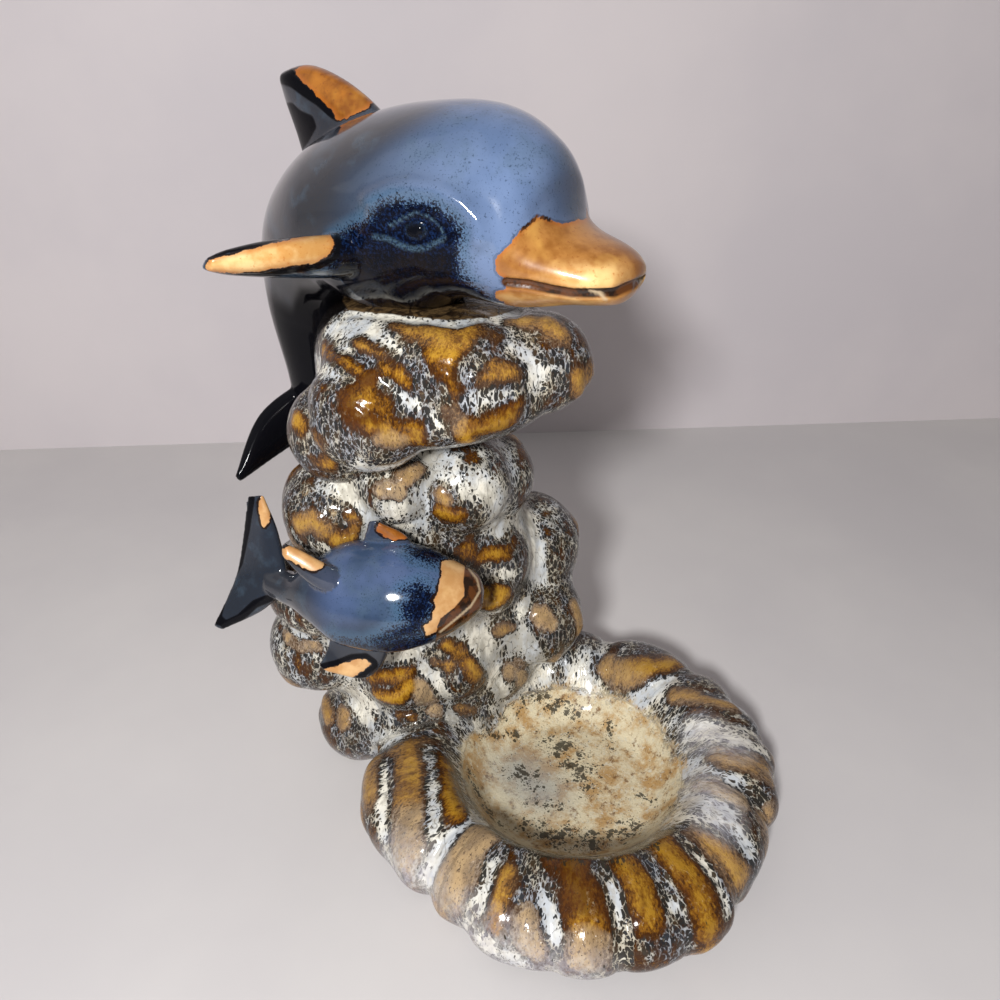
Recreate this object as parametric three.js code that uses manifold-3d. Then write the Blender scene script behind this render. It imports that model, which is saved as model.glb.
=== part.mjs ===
// Glazed ceramic figurine: a dolphin arches over a boulder on a lobed rock column, a calf swims across
// the column, and a scalloped dish for a tea light or trinkets spreads from the column's foot.
// Units are millimetres, +Z is up, and the large dolphin faces -Y.

import * as THREE from 'three';
import { mergeVertices } from 'three/addons/utils/BufferGeometryUtils.js';
import Module from 'manifold-3d';

const wasm = await Module();
wasm.setup();

// Rock column: a leaning oval core with rounded lobes on it, cast hollow and open underneath
const columnHeight = 100;
const columnFoot = { x: 9, y: 17 };
const columnHead = { x: -6, y: 11 };
const columnLongRadius = 32;
const columnShortRadius = 21;
const columnTurn = -33;
const columnWall = 5;
const cavityHeight = 70;
const lobeCrease = 4;

// Boulder that the large dolphin lies on
const boulderCentre = { x: -4, y: 2 };
const boulderRise = 10;
const boulderWidth = 46;
const boulderLength = 58;
const boulderTopHeight = 21;
const boulderUnderside = 10;
const undersideSlope = 0.18;

// Scalloped dish
const dishCentre = { x: 3.6, y: -33.9 };
const ringRadius = 36.5;
const ringOuterWidth = 17;
const ringHeight = 23;
const grooveDepth = 5;
const basinFloorHeight = 7;
const basinFloorRadius = 20;
const footRingRadius = 43;
const footRingWidth = 6;
const footRecess = 2;

// Large dolphin
const dolphinLength = 126;
const bellySink = 1;
const flipperThickness = 8;
const dorsalThickness = 6.5;
const flukeThickness = 6;
const mouthGap = 1.2;
const mouthDepth = 2;
const mouthDrop = 1.6;
const eyeShare = 0.255;
const eyeRise = 1;
const eyeLength = 7;
const eyeStandProud = 0.4;

// Calf, placed on the column's flank
const calfLength = 53;
const calfAngle = 211;
const calfHeight = 70;
const calfStandOff = 7;
const tailTurn = -50;
const tailDrop = 6;
const tailStandOff = 12.2;
const calfFinThickness = 3.6;
const calfFlukeThickness = 4.4;

// Glaze film between two pieces that were luted together
const seatGap = 0.3;

// Lobes of the column: angle round its axis in degrees, then height, distance from the axis and radius
// in percent of the column's height
const columnLobes = [
  [153, 81, 18, 13.5],
  [213, 91, 12, 9],
  [284, 88, 14, 12],
  [316, 85, 19, 11],
  [336, 55, 30, 15],
  [294, 63, 16, 12.5],
  [271, 59, 23, 5.5],
  [312, 38, 28, 14],
  [293, 24, 17, 10.5],
  [197, 32, 18, 10],
  [246, 33, 15, 10],
  [190, 16, 18, 12],
  [214, 15, 20, 10.5],
  [250, 12, 15, 10],
  [161, 9, 25, 12],
  [147, 37, 30, 13.5],
  [226, 67, 11, 12],
  [150, 58, 27, 13],
  [20, 70, 20, 13],
  [70, 80, 10, 13],
  [100, 55, 13, 15],
  [50, 46, 16, 16],
  [5, 34, 27, 15],
  [80, 22, 12, 16],
  [122, 74, 12, 14],
  [125, 30, 22, 15],
  [22, 13, 22, 14],
  [345, 79, 17, 12]
];

// Lobes of the boulder: place from its centre and radius, in percent of the boulder's length
const boulderLobes = [
  [-31, 1.7, 3.4, 22.4],
  [-25.9, 25.9, -13.8, 20.7],
  [-12.1, -22.4, 17.2, 19.8],
  [15.5, -37.9, 17.2, 18.1],
  [6.9, -24.1, 12.1, 16.4],
  [25.9, -13.8, 13.8, 19],
  [24.1, 20.7, 1.7, 22.4],
  [3.4, 31, -5.2, 20.7]
];

// Lobes of the dish: where each one ends, in degrees round the dish, how far it stands out, in percent of
// the ring's outer width, and how deep the groove at its end is, in percent of the full groove depth
const dishLobes = [
  [156, 3, 0],
  [174, -12, 95],
  [189, -22, 40],
  [212, -3, 30],
  [228, 0, 45],
  [245, 0, 40],
  [261, 2, 50],
  [290, -16, 100],
  [304, -8, 45],
  [318, -4, 45],
  [334, 2, 45],
  [350, 0, 80],
  [382, 6, 100],
  [412, 0, 60],
  [446, 0, 60],
  [485, 0, 100]
];
const dishLobesStart = 125;

const degrees = Math.PI / 180;

function lerp(a, b, share) {
  return a + (b - a) * share;
}

// Smooth value through [place, value] pairs, with no overshoot between them
function through(pairs, place) {
  const last = pairs.length - 1;
  if (place <= pairs[0][0]) return pairs[0][1];
  if (place >= pairs[last][0]) return pairs[last][1];
  const k = pairs.findIndex((pair) => pair[0] > place) - 1;
  const step = (i) => (pairs[i + 1][1] - pairs[i][1]) / (pairs[i + 1][0] - pairs[i][0]);
  const slope = (i) => {
    if (i === 0) return step(0);
    if (i === last) return step(last - 1);
    const product = step(i - 1) * step(i);
    return product <= 0 ? 0 : (2 * product) / (step(i - 1) + step(i));
  };
  const width = pairs[k + 1][0] - pairs[k][0];
  const t = (place - pairs[k][0]) / width;
  const rest = 1 - t;
  const ends = (1 + 2 * t) * rest * rest * pairs[k][1] + t * t * (3 - 2 * t) * pairs[k + 1][1];
  return ends + t * rest * width * (rest * slope(k) - t * slope(k + 1));
}

// Larger of two values, rounded where they are nearly equal
function softMax(a, b, softness) {
  const overlap = Math.max(softness - Math.abs(a - b), 0) / softness;
  return Math.max(a, b) + (overlap * overlap * softness) / 4;
}

// How far a ray reaches to the far side of a ball, eased off where the ray passes beside it
function reachOfBall(toBall, direction, radius) {
  const along = toBall.dot(direction);
  const room = along * along - toBall.lengthSq() + radius * radius;
  return along + Math.sign(room) * Math.sqrt(Math.abs(room));
}

function middle(points) {
  const sum = new THREE.Vector3();
  points.forEach((point) => sum.add(point));
  return sum.divideScalar(points.length);
}

// Closed skin over a row of rings with the same number of points, its ends closed by fans
function loft(rings) {
  const count = rings[0].length;
  const points = [middle(rings[0]), ...rings.flat(), middle(rings[rings.length - 1])];
  const lastRing = 1 + (rings.length - 1) * count;
  const faces = [];
  for (let i = 0; i < count; i++) {
    const next = (i + 1) % count;
    faces.push([0, 1 + next, 1 + i]);
    for (let start = 1; start < lastRing; start += count) {
      faces.push([start + i, start + next, start + next + count]);
      faces.push([start + i, start + next + count, start + i + count]);
    }
    faces.push([lastRing + i, lastRing + next, points.length - 1]);
  }
  const volume = faces.reduce((sum, [a, b, c]) => {
    return sum + points[a].dot(new THREE.Vector3().crossVectors(points[b], points[c]));
  }, 0);
  if (volume < 0) faces.forEach((face) => face.reverse());
  const geometry = new THREE.BufferGeometry().setFromPoints(points);
  geometry.setIndex(faces.flat());
  return geometry;
}

function solid(geometry) {
  const bare = geometry.clone();
  bare.deleteAttribute('normal');
  bare.deleteAttribute('uv');
  const merged = mergeVertices(bare);
  return new wasm.Manifold(new wasm.Mesh({
    numProp: 3,
    vertProperties: Float32Array.from(merged.attributes.position.array),
    triVerts: Uint32Array.from(merged.index.array)
  }));
}

// Points of a ring round an axis, with the reach at each angle given by a function
function ring(centre, height, count, reach) {
  return Array.from({ length: count }, (_, i) => {
    const angle = (i / count) * 2 * Math.PI;
    const r = reach(angle);
    return new THREE.Vector3(centre.x + r * Math.cos(angle), centre.y + r * Math.sin(angle), height);
  });
}

// Rock column

function columnAxis(height) {
  const share = height / columnHeight;
  return {
    x: lerp(columnFoot.x, columnHead.x, share),
    y: lerp(columnFoot.y, columnHead.y, share)
  };
}

const columnTaper = [[0, 0.82], [0.04, 0.86], [0.4, 1], [0.8, 0.82], [0.96, 0.62], [1.03, 0.4]];

function columnCoreReach(angle, height) {
  const turned = angle - columnTurn * degrees;
  const long = Math.cos(turned) / columnLongRadius;
  const short = Math.sin(turned) / columnShortRadius;
  return through(columnTaper, height / columnHeight) / Math.hypot(long, short);
}

function columnReach(angle, height) {
  const direction = new THREE.Vector3(Math.cos(angle), Math.sin(angle), 0);
  const axis = columnAxis(height);
  const percent = columnHeight / 100;
  return columnLobes.reduce((reach, [turn, up, distance, radius]) => {
    const lobeAxis = columnAxis(up * percent);
    const toLobe = new THREE.Vector3(
      lobeAxis.x + distance * percent * Math.cos(turn * degrees) - axis.x,
      lobeAxis.y + distance * percent * Math.sin(turn * degrees) - axis.y,
      up * percent - height
    );
    return softMax(reach, reachOfBall(toLobe, direction, radius * percent), lobeCrease);
  }, columnCoreReach(angle, height));
}

function columnOuter(grow) {
  const rows = 22;
  const top = columnHeight * 1.03;
  const rings = [];
  for (let row = 0; row <= rows; row++) {
    const height = (top * row) / rows;
    const reach = (angle) => columnReach(angle, height) + grow;
    rings.push(ring(columnAxis(height), height, 50, reach));
  }
  if (grow) rings[0].forEach((point) => point.setZ(-grow));
  return solid(loft(rings));
}

function columnCavity() {
  const dome = [[-1, 1], [0, 1], [0.55, 0.95], [0.8, 0.78], [0.94, 0.45], [1, 0.15]];
  const rings = dome.map(([share, narrowing]) => {
    const height = share * cavityHeight;
    const within = Math.max(height, 0);
    const reach = (angle) => (columnCoreReach(angle, within) - columnWall) * narrowing;
    return ring(columnAxis(within), height, 28, reach);
  });
  return solid(loft(rings));
}

// Boulder

const boulderMiddle = new THREE.Vector3(boulderCentre.x, boulderCentre.y, columnHeight + boulderRise);
const boulderTop = boulderMiddle.z + boulderTopHeight;

// The core has a squarish upper half and a round underside that rises towards the front
function boulderReach(direction) {
  const flat = Math.hypot(direction.x / (boulderWidth / 2), direction.y / (boulderLength / 2));
  const above = Math.max(direction.z, 0) / boulderTopHeight;
  const below = Math.min(direction.z + undersideSlope * direction.y, 0) / boulderUnderside;
  const core = Math.min((flat ** 4 + above ** 4) ** (-1 / 4), Math.hypot(flat, below) ** -1);
  const percent = boulderLength / 100;
  return boulderLobes.reduce((reach, [x, y, z, radius]) => {
    const toLobe = new THREE.Vector3(x, y, z).multiplyScalar(percent);
    return softMax(reach, reachOfBall(toLobe, direction, radius * percent), lobeCrease);
  }, core);
}

function boulderOuter(grow) {
  const rows = 18;
  const count = 40;
  const rings = [];
  for (let row = 1; row < rows; row++) {
    const polar = Math.PI * (1 - row / rows);
    rings.push(Array.from({ length: count }, (_, i) => {
      const direction = new THREE.Vector3().setFromSphericalCoords(1, polar, (i / count) * 2 * Math.PI);
      direction.applyAxisAngle(new THREE.Vector3(1, 0, 0), Math.PI / 2);
      const point = direction.clone().multiplyScalar(boulderReach(direction) + grow);
      point.z = Math.min(point.z, boulderTopHeight);
      return point.add(boulderMiddle);
    }));
  }
  return solid(loft(rings));
}

// Dish

// The lobe at an angle round the dish: how deep its groove is there and how far the lobe stands out
function dishLobe(angle) {
  const turned = dishLobesStart + THREE.MathUtils.euclideanModulo(angle / degrees - dishLobesStart, 360);
  const k = dishLobes.findIndex((lobe) => lobe[0] > turned);
  const start = k > 0 ? dishLobes[k - 1][0] : dishLobesStart;
  const width = dishLobes[k][0] - start;
  const across = (2 * (turned - start)) / width - 1;
  const before = (k + dishLobes.length - 1) % dishLobes.length;
  const neighbour = dishLobes[across > 0 ? (k + 1) % dishLobes.length : before];
  const outPercent = lerp(dishLobes[k][1], neighbour[1], 0.5 * Math.abs(across) ** 3);
  const groovePercent = dishLobes[across > 0 ? k : before][2] * (1 - Math.sqrt(1 - across ** 2));
  return { groove: (grooveDepth * groovePercent) / 100, standOut: (ringOuterWidth * outPercent) / 100 };
}

// Place on the ring's outer side, from 0 beneath it to 1 on its crest
function ringOuter(angle, share) {
  const { groove, standOut } = dishLobe(angle);
  const around = lerp(-62, 90, share) * degrees;
  const width = ringOuterWidth + standOut - groove;
  const rise = ringHeight / 2 - groove * (0.5 + 0.3 * Math.cos(around));
  return [ringRadius + width * Math.cos(around), ringHeight / 2 + rise * Math.sin(around)];
}

// Place on the ring's inner side, from 0 on its crest to 1 on the basin's floor
function ringInner(angle, share) {
  const crest = ringOuter(angle, 1)[1];
  const fall = 0.5 - 0.5 * Math.cos(Math.PI * share);
  return [lerp(ringRadius, basinFloorRadius, share), lerp(crest, basinFloorHeight, fall)];
}

function dishWhole() {
  const count = 72;
  const inner = footRingRadius - footRingWidth;
  const profile = [
    () => [inner / 2, footRecess],
    () => [inner - 1, footRecess],
    () => [inner, 0],
    () => [footRingRadius, 0],
    ...[0, 0.17, 0.34, 0.51, 0.68, 0.84, 1].map((share) => (angle) => ringOuter(angle, share)),
    ...[0.2, 0.4, 0.6, 0.8, 1].map((share) => (angle) => ringInner(angle, share)),
    () => [basinFloorRadius / 2, basinFloorHeight]
  ];
  const rings = profile.map((at) => Array.from({ length: count }, (_, i) => {
    const angle = (i / count) * 2 * Math.PI;
    const [r, z] = at(angle);
    return new THREE.Vector3(dishCentre.x + r * Math.cos(angle), dishCentre.y + r * Math.sin(angle), z);
  }));
  return solid(loft(rings));
}

// Dolphins

// Stations of a body. Each gives its share of the body's path and the reach to the side, towards the back
// and towards the belly, in percent of the body's length
function inMillimetres(stations, length) {
  return stations.map(([at, ...reaches]) => [at, ...reaches.map((reach) => (reach * length) / 100)]);
}

// Body lofted along a path from the beak's tip to the tail
function bodyOuter({ path, across, stations, rows, grow = 0, from = 0, to = 1 }) {
  const curve = new THREE.CatmullRomCurve3(path, false, 'centripetal');
  const reach = (column) => stations.map((station) => [station[0], station[column]]);
  const [side, back, belly] = [reach(1), reach(2), reach(3)];
  const count = 20;
  const rings = [];
  for (let row = 0; row <= rows; row++) {
    const share = lerp(from, to, (row / rows) ** 1.25);
    const centre = curve.getPointAt(share);
    const along = curve.getTangentAt(share);
    const up = new THREE.Vector3().crossVectors(across, along).normalize();
    const out = new THREE.Vector3().crossVectors(along, up);
    rings.push(Array.from({ length: count }, (_, i) => {
      const angle = (i / count) * 2 * Math.PI;
      const tall = Math.sin(angle) > 0 ? through(back, share) : through(belly, share);
      return centre.clone()
        .addScaledVector(out, Math.cos(angle) * (through(side, share) + grow))
        .addScaledVector(up, Math.sin(angle) * (tall + grow));
    }));
  }
  return solid(loft(rings));
}

// Thickness of a fin at shares of its length, from factors of its full thickness
function thinning(thickness, factors) {
  return factors.map(([share, factor]) => [share, thickness * factor]);
}

// Fin between a leading and a trailing edge, with a rounded section across
function fin({ leading, trailing, thickness, normal, rows = 9 }) {
  const front = new THREE.CatmullRomCurve3(leading);
  const rear = new THREE.CatmullRomCurve3(trailing);
  const across = [0, 0.07, 0.2, 0.42, 0.68, 0.9, 1];
  const rings = [];
  for (let row = 0; row <= rows; row++) {
    const share = row / rows;
    const a = front.getPoint(share);
    const b = rear.getPoint(share);
    const half = through(thickness, share) / 2;
    const at = (v, sign) => {
      const swell = Math.sin(Math.PI * v ** 0.7) ** 0.6;
      return a.clone().lerp(b, v).addScaledVector(normal, sign * half * swell);
    };
    const upper = across.map((v) => at(v, 1));
    const lower = across.slice(1, -1).reverse().map((v) => at(v, -1));
    rings.push([...upper, ...lower]);
  }
  return solid(loft(rings));
}

// Places of the large dolphin are given in percent of its length, from the middle of the boulder and from
// where the belly would only touch the boulder's top
function fromTop(x, y, z) {
  const place = new THREE.Vector3(x, y, z).multiplyScalar(dolphinLength / 100);
  return place.add(new THREE.Vector3(boulderCentre.x, boulderCentre.y, boulderTop - bellySink));
}

const sideways = new THREE.Vector3(1, 0, 0);
const dolphinPath = [
  fromTop(3.2, -36.5, 9),
  fromTop(2.8, -30.2, 10.3),
  fromTop(1.6, -22.2, 11.9),
  fromTop(0.4, -11.9, 15.5),
  fromTop(0, 1.6, 15.9),
  fromTop(0, 13.5, 12.7),
  fromTop(0, 23, 5.6),
  fromTop(0, 28.6, -4.8),
  fromTop(0, 31, -19),
  fromTop(0, 33.3, -28.6)
];
const dolphinStations = inMillimetres([
  [0, 2.7, 1.4, 1.6],
  [0.012, 4.9, 2.7, 3],
  [0.04, 7.1, 3.8, 4.2],
  [0.09, 8.8, 4.4, 5.8],
  [0.125, 10.3, 5.7, 7.3],
  [0.165, 11.9, 11.4, 9.3],
  [0.21, 13, 14.1, 11.1],
  [0.27, 15.6, 15.3, 12.7],
  [0.36, 17.5, 14.4, 16],
  [0.47, 17.5, 13.5, 16.5],
  [0.58, 15.5, 12.7, 13.1],
  [0.7, 11.9, 10.7, 10.3],
  [0.82, 8.3, 9, 8.3],
  [0.92, 6, 7.1, 6.3],
  [1, 4.4, 5.2, 4.8]
], dolphinLength);

function dolphinOuter(grow) {
  return bodyOuter({ path: dolphinPath, across: sideways, stations: dolphinStations, rows: 30, grow });
}

// Groove of the mouth, cut into the beak's flanks and tip
function mouthGroove() {
  const line = dolphinPath.map((point) => point.clone().setZ(point.z - mouthDrop));
  line[0].y -= 1;
  const flat = (widen, half) => dolphinStations.map(([at, side]) => [at, side + widen, half, half]);
  const part = { path: line, across: sideways, rows: 12, from: 0, to: 0.15 };
  const blade = bodyOuter({ ...part, stations: flat(3, mouthGap / 2) });
  const core = bodyOuter({ ...part, stations: flat(-mouthDepth, mouthGap), from: 0.02, to: 0.2 });
  return blade.subtract(core);
}

function eye(sign) {
  const geometry = new THREE.SphereGeometry(eyeLength / 2, 12, 8);
  geometry.scale(0.5, 1, 0.62);
  const sides = dolphinStations.map(([at, side]) => [at, side]);
  const place = new THREE.CatmullRomCurve3(dolphinPath, false, 'centripetal').getPointAt(eyeShare);
  place.x += sign * (through(sides, eyeShare) - eyeLength / 4 + eyeStandProud);
  place.z += eyeRise;
  geometry.translate(place.x, place.y, place.z);
  return solid(geometry);
}

function dolphinBody() {
  return dolphinOuter(0).add(eye(-1)).add(eye(1)).subtract(mouthGroove());
}

function dolphinDorsal() {
  return fin({
    leading: [
      fromTop(0, 3.2, 23.8),
      fromTop(0, 11.9, 29.8),
      fromTop(0, 19, 32.9),
      fromTop(0, 26.2, 34.3),
      fromTop(0, 31.3, 33.3)
    ],
    trailing: [
      fromTop(0, 23.8, 11.1),
      fromTop(0, 28.6, 18.3),
      fromTop(0, 30.6, 23.8),
      fromTop(0, 32.5, 28.6),
      fromTop(0, 33.3, 32.1)
    ],
    thickness: thinning(dorsalThickness, [[0, 1.2], [0.5, 1], [0.9, 0.7], [1, 0.4]]),
    normal: sideways
  });
}

function dolphinFlipper(sign) {
  const at = (x, y, z) => fromTop(sign * x, y, z);
  return fin({
    leading: [at(9.5, -4, 11.9), at(19, -1.6, 12.7), at(27.8, 0, 13.5), at(36.1, 4.8, 13.2)],
    trailing: [at(9.5, 10.3, 6.3), at(19, 10.3, 7.9), at(27.8, 9.9, 9.9), at(36.1, 7.5, 11.9)],
    thickness: thinning(flipperThickness, [[0, 1], [0.6, 0.8], [0.9, 0.5], [1, 0.25]]),
    normal: new THREE.Vector3(0, 0.25, 1).normalize()
  });
}

function dolphinFlukes() {
  return fin({
    leading: [
      fromTop(-19.8, 35.7, -36.5),
      fromTop(-11.1, 36.5, -26.2),
      fromTop(0, 33.3, -21.4),
      fromTop(11.1, 36.5, -26.2),
      fromTop(19.8, 35.7, -36.5)
    ],
    trailing: [
      fromTop(-19, 36, -38.1),
      fromTop(-9.5, 35.7, -35.7),
      fromTop(0, 34.9, -33.3),
      fromTop(9.5, 35.7, -35.7),
      fromTop(19, 36, -38.1)
    ],
    thickness: thinning(flukeThickness, [[0, 0.25], [0.1, 0.6], [0.5, 1], [0.9, 0.6], [1, 0.25]]),
    normal: new THREE.Vector3(0, 1, 0),
    rows: 20
  });
}

// Calf

// Place beside the column, turned and raised from the calf's middle and standing off the column's surface
function besideColumn(turn, rise, standOff) {
  const height = calfHeight + rise;
  const angle = (calfAngle + turn) * degrees;
  const reach = columnReach(angle, height) + standOff;
  const axis = columnAxis(height);
  return new THREE.Vector3(axis.x + reach * Math.cos(angle), axis.y + reach * Math.sin(angle), height);
}

// The calf's own axes: from its tail to its middle, towards its back and across it
const calfPlace = besideColumn(0, 0, calfStandOff);
const calfForward = calfPlace.clone().sub(besideColumn(tailTurn, -tailDrop, tailStandOff)).normalize();
const calfBack = new THREE.Vector3(-0.62, -0.52, 0.59).projectOnPlane(calfForward).normalize();
const calfLeft = new THREE.Vector3().crossVectors(calfBack, calfForward);

// Place on the calf from its middle, in percent of its length: forwards, to its left and towards its back
function onCalf(forward, left, back) {
  const percent = calfLength / 100;
  return calfPlace.clone()
    .addScaledVector(calfForward, forward * percent)
    .addScaledVector(calfLeft, left * percent)
    .addScaledVector(calfBack, back * percent);
}

const calfPath = [
  onCalf(40.9, -0.9, -4.7),
  onCalf(26.4, -1.5, -1.5),
  onCalf(9.4, -0.9, 0.6),
  onCalf(-11.3, 0.9, 0.9),
  onCalf(-28.3, 2.8, -1.9),
  onCalf(-43.4, 4.7, -6.2),
  onCalf(-56.6, 9.4, -8.5)
];
const calfStations = inMillimetres([
  [0, 4.5, 2.8, 3.2],
  [0.03, 8.3, 5.9, 6],
  [0.12, 14.3, 11.3, 11],
  [0.24, 20.3, 16.6, 16.2],
  [0.4, 23.8, 18.9, 18.1],
  [0.58, 22.3, 17, 16.2],
  [0.74, 14.3, 12.5, 11.3],
  [0.86, 8.3, 8.3, 7.5],
  [1, 6, 4.9, 4.9]
], calfLength);

function calfOuter(grow) {
  return bodyOuter({ path: calfPath, across: calfLeft, stations: calfStations, rows: 24, grow });
}

function calfDorsal() {
  return fin({
    leading: [onCalf(-7.5, 3.8, 9.4), onCalf(-17, 9.4, 20.8), onCalf(-32.1, 19.8, 27.4)],
    trailing: [onCalf(-28.3, 3.8, 5.7), onCalf(-30.2, 9.4, 15.1), onCalf(-34.9, 19.8, 25.7)],
    thickness: thinning(calfFinThickness, [[0, 1.8], [0.7, 1.5], [1, 0.9]]),
    normal: calfLeft,
    rows: 6
  });
}

function calfUpperFlipper() {
  return fin({
    leading: [besideColumn(14, 6, 6), besideColumn(12, 12.5, 5.5), besideColumn(-4, 17, 2.2)],
    trailing: [besideColumn(-11, 4, 5), besideColumn(-13, 11, 4), besideColumn(-9, 16.5, 2.6)],
    thickness: thinning(calfFinThickness, [[0, 1.4], [0.7, 1], [1, 0.5]]),
    normal: calfBack,
    rows: 6
  });
}

function calfLowerFlipper() {
  return fin({
    leading: [
      onCalf(-1.9, -11.3, -5.7),
      onCalf(-5.7, -26.4, -13.2),
      onCalf(-17, -35.8, -17),
      onCalf(-33, -32.1, -13.2)
    ],
    trailing: [
      onCalf(-30, -9.4, -5.7),
      onCalf(-31, -18.9, -10.4),
      onCalf(-34, -24.5, -12.3),
      onCalf(-37, -29.2, -12.5)
    ],
    thickness: thinning(calfFinThickness, [[0, 1.4], [0.7, 1], [1, 0.5]]),
    normal: calfBack,
    rows: 8
  });
}

function calfFlukes() {
  return fin({
    leading: [
      onCalf(-50.9, 45.3, 7.5),
      onCalf(-48.1, 28.3, 0),
      onCalf(-49.1, 7.5, -7.5),
      onCalf(-60.4, -2.8, -10.4),
      onCalf(-83, -11.3, -13.2)
    ],
    trailing: [
      onCalf(-58.5, 45.3, 7.5),
      onCalf(-67, 28.3, -3.8),
      onCalf(-74, 13.2, -10.4),
      onCalf(-80.5, 1.9, -12.3),
      onCalf(-87.5, -9.4, -13.2)
    ],
    thickness: thinning(calfFlukeThickness, [[0, 0.27], [0.15, 0.68], [0.5, 1], [0.85, 0.68], [1, 0.27]]),
    normal: calfBack,
    rows: 14
  });
}

// Glazes

function glaze(colour, roughness = 0.15) {
  return new THREE.MeshStandardMaterial({ color: colour, roughness, metalness: 0 });
}

function rockGlaze() {
  return glaze('#c9c0b2');
}

function dishGlaze() {
  return glaze('#d8ccb4', 0.2);
}

function blueGlaze() {
  return glaze('#6d86b4');
}

function finGlaze() {
  return glaze('#d99a55');
}

function blackGlaze() {
  return glaze('#1c2233');
}

// Assembly

const figurine = new THREE.Group();

function place(name, body, material) {
  const { vertProperties, triVerts } = body.getMesh();
  const geometry = new THREE.BufferGeometry();
  geometry.setAttribute('position', new THREE.BufferAttribute(vertProperties, 3));
  geometry.setIndex(new THREE.BufferAttribute(triVerts, 1));
  geometry.computeVertexNormals();
  const mesh = new THREE.Mesh(geometry, material);
  mesh.name = name;
  figurine.add(mesh);
}

const dolphinSeat = dolphinOuter(seatGap);
const boulderSeat = boulderOuter(seatGap);
const columnSeat = columnOuter(seatGap);
const calfSeat = calfOuter(seatGap);

const column = columnOuter(0).subtract(columnCavity());
place('rock_base', column.subtract(boulderSeat).subtract(calfSeat), rockGlaze());
place('scallop_dish', dishWhole().subtract(columnSeat), dishGlaze());
place('top_boulder', boulderOuter(0).subtract(dolphinSeat), rockGlaze());
place('dolphin_body', dolphinBody(), blueGlaze());
place('dolphin_dorsal_fin', dolphinDorsal().subtract(dolphinSeat), finGlaze());
place('dolphin_right_flipper', dolphinFlipper(-1).subtract(dolphinSeat), finGlaze());
place('dolphin_left_flipper', dolphinFlipper(1).subtract(dolphinSeat), finGlaze());
place('dolphin_flukes', dolphinFlukes().subtract(dolphinSeat).subtract(columnSeat), blackGlaze());
place('calf_body', calfOuter(0), blueGlaze());
place('calf_dorsal_fin', calfDorsal().subtract(calfSeat), finGlaze());
place('calf_upper_flipper', calfUpperFlipper().subtract(calfSeat).subtract(columnSeat), finGlaze());
place('calf_lower_flipper', calfLowerFlipper().subtract(calfSeat).subtract(columnSeat), finGlaze());
place('calf_flukes', calfFlukes().subtract(calfSeat).subtract(columnSeat), blueGlaze());

// The origin lies under the middle of the whole figurine, on the table
const box = new THREE.Box3().setFromObject(figurine);
const centre = box.getCenter(new THREE.Vector3());
figurine.position.set(-centre.x, -centre.y, -box.min.z);

export default figurine;
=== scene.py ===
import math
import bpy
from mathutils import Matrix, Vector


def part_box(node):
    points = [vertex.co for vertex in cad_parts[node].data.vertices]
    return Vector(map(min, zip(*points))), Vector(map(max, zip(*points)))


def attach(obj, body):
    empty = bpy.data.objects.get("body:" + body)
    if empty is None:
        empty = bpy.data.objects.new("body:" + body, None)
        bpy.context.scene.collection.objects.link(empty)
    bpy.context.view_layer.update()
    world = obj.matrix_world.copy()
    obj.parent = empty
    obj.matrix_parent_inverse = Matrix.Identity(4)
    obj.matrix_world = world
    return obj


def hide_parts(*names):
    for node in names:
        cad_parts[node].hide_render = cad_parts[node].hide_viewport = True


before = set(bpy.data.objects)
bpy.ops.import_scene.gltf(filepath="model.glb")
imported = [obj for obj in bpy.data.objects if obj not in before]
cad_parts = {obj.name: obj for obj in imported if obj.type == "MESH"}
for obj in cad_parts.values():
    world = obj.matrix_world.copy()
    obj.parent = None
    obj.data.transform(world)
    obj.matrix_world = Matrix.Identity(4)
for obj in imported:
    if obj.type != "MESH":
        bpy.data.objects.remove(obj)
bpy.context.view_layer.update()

# Glazed ceramic figurine: a dolphin over a boulder on a lobed rock column, a calf across the column and a
# scalloped dish at its foot. Forms are worked out in millimetres in the frame of the figurine's own plan,
# whose origin lies between the column and the boulder, and become metres when a mesh is made.

from types import SimpleNamespace

import bmesh
import bpy
import numpy as np
from mathutils import Vector
from mathutils.bvhtree import BVHTree
from mathutils.kdtree import KDTree

MM = 0.001

# Plan of the figurine, read from the frame

dolphin_low, dolphin_high = [np.array(corner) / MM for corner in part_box("dolphin_body")]
boulder_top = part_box("top_boulder")[1].z / MM
boulder_xy = np.array([-4.0, 2.0])
beak_reach = 44.4
plan = np.array([
    (dolphin_low[0] + dolphin_high[0]) / 2 - boulder_xy[0],
    dolphin_low[1] + beak_reach,
    0.0,
])

# Camera of the photograph

camera_place = np.array([-127.6, -120.1, 183.0])
camera_heading = np.array([0.766, 0.643])
camera_pitch = math.radians(30)
focal_pixels = 850
photo_pixels = 1000
sensor_width = 36
wall_foot_left = (0, 450)
wall_foot_right = (1000, 418)

# Fineness of the skins

rock_voxel = 0.7
boulder_voxel = 0.55
dolphin_voxel = 0.5
calf_voxel = 0.4
random = np.random.default_rng(7)


# Numbers

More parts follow.
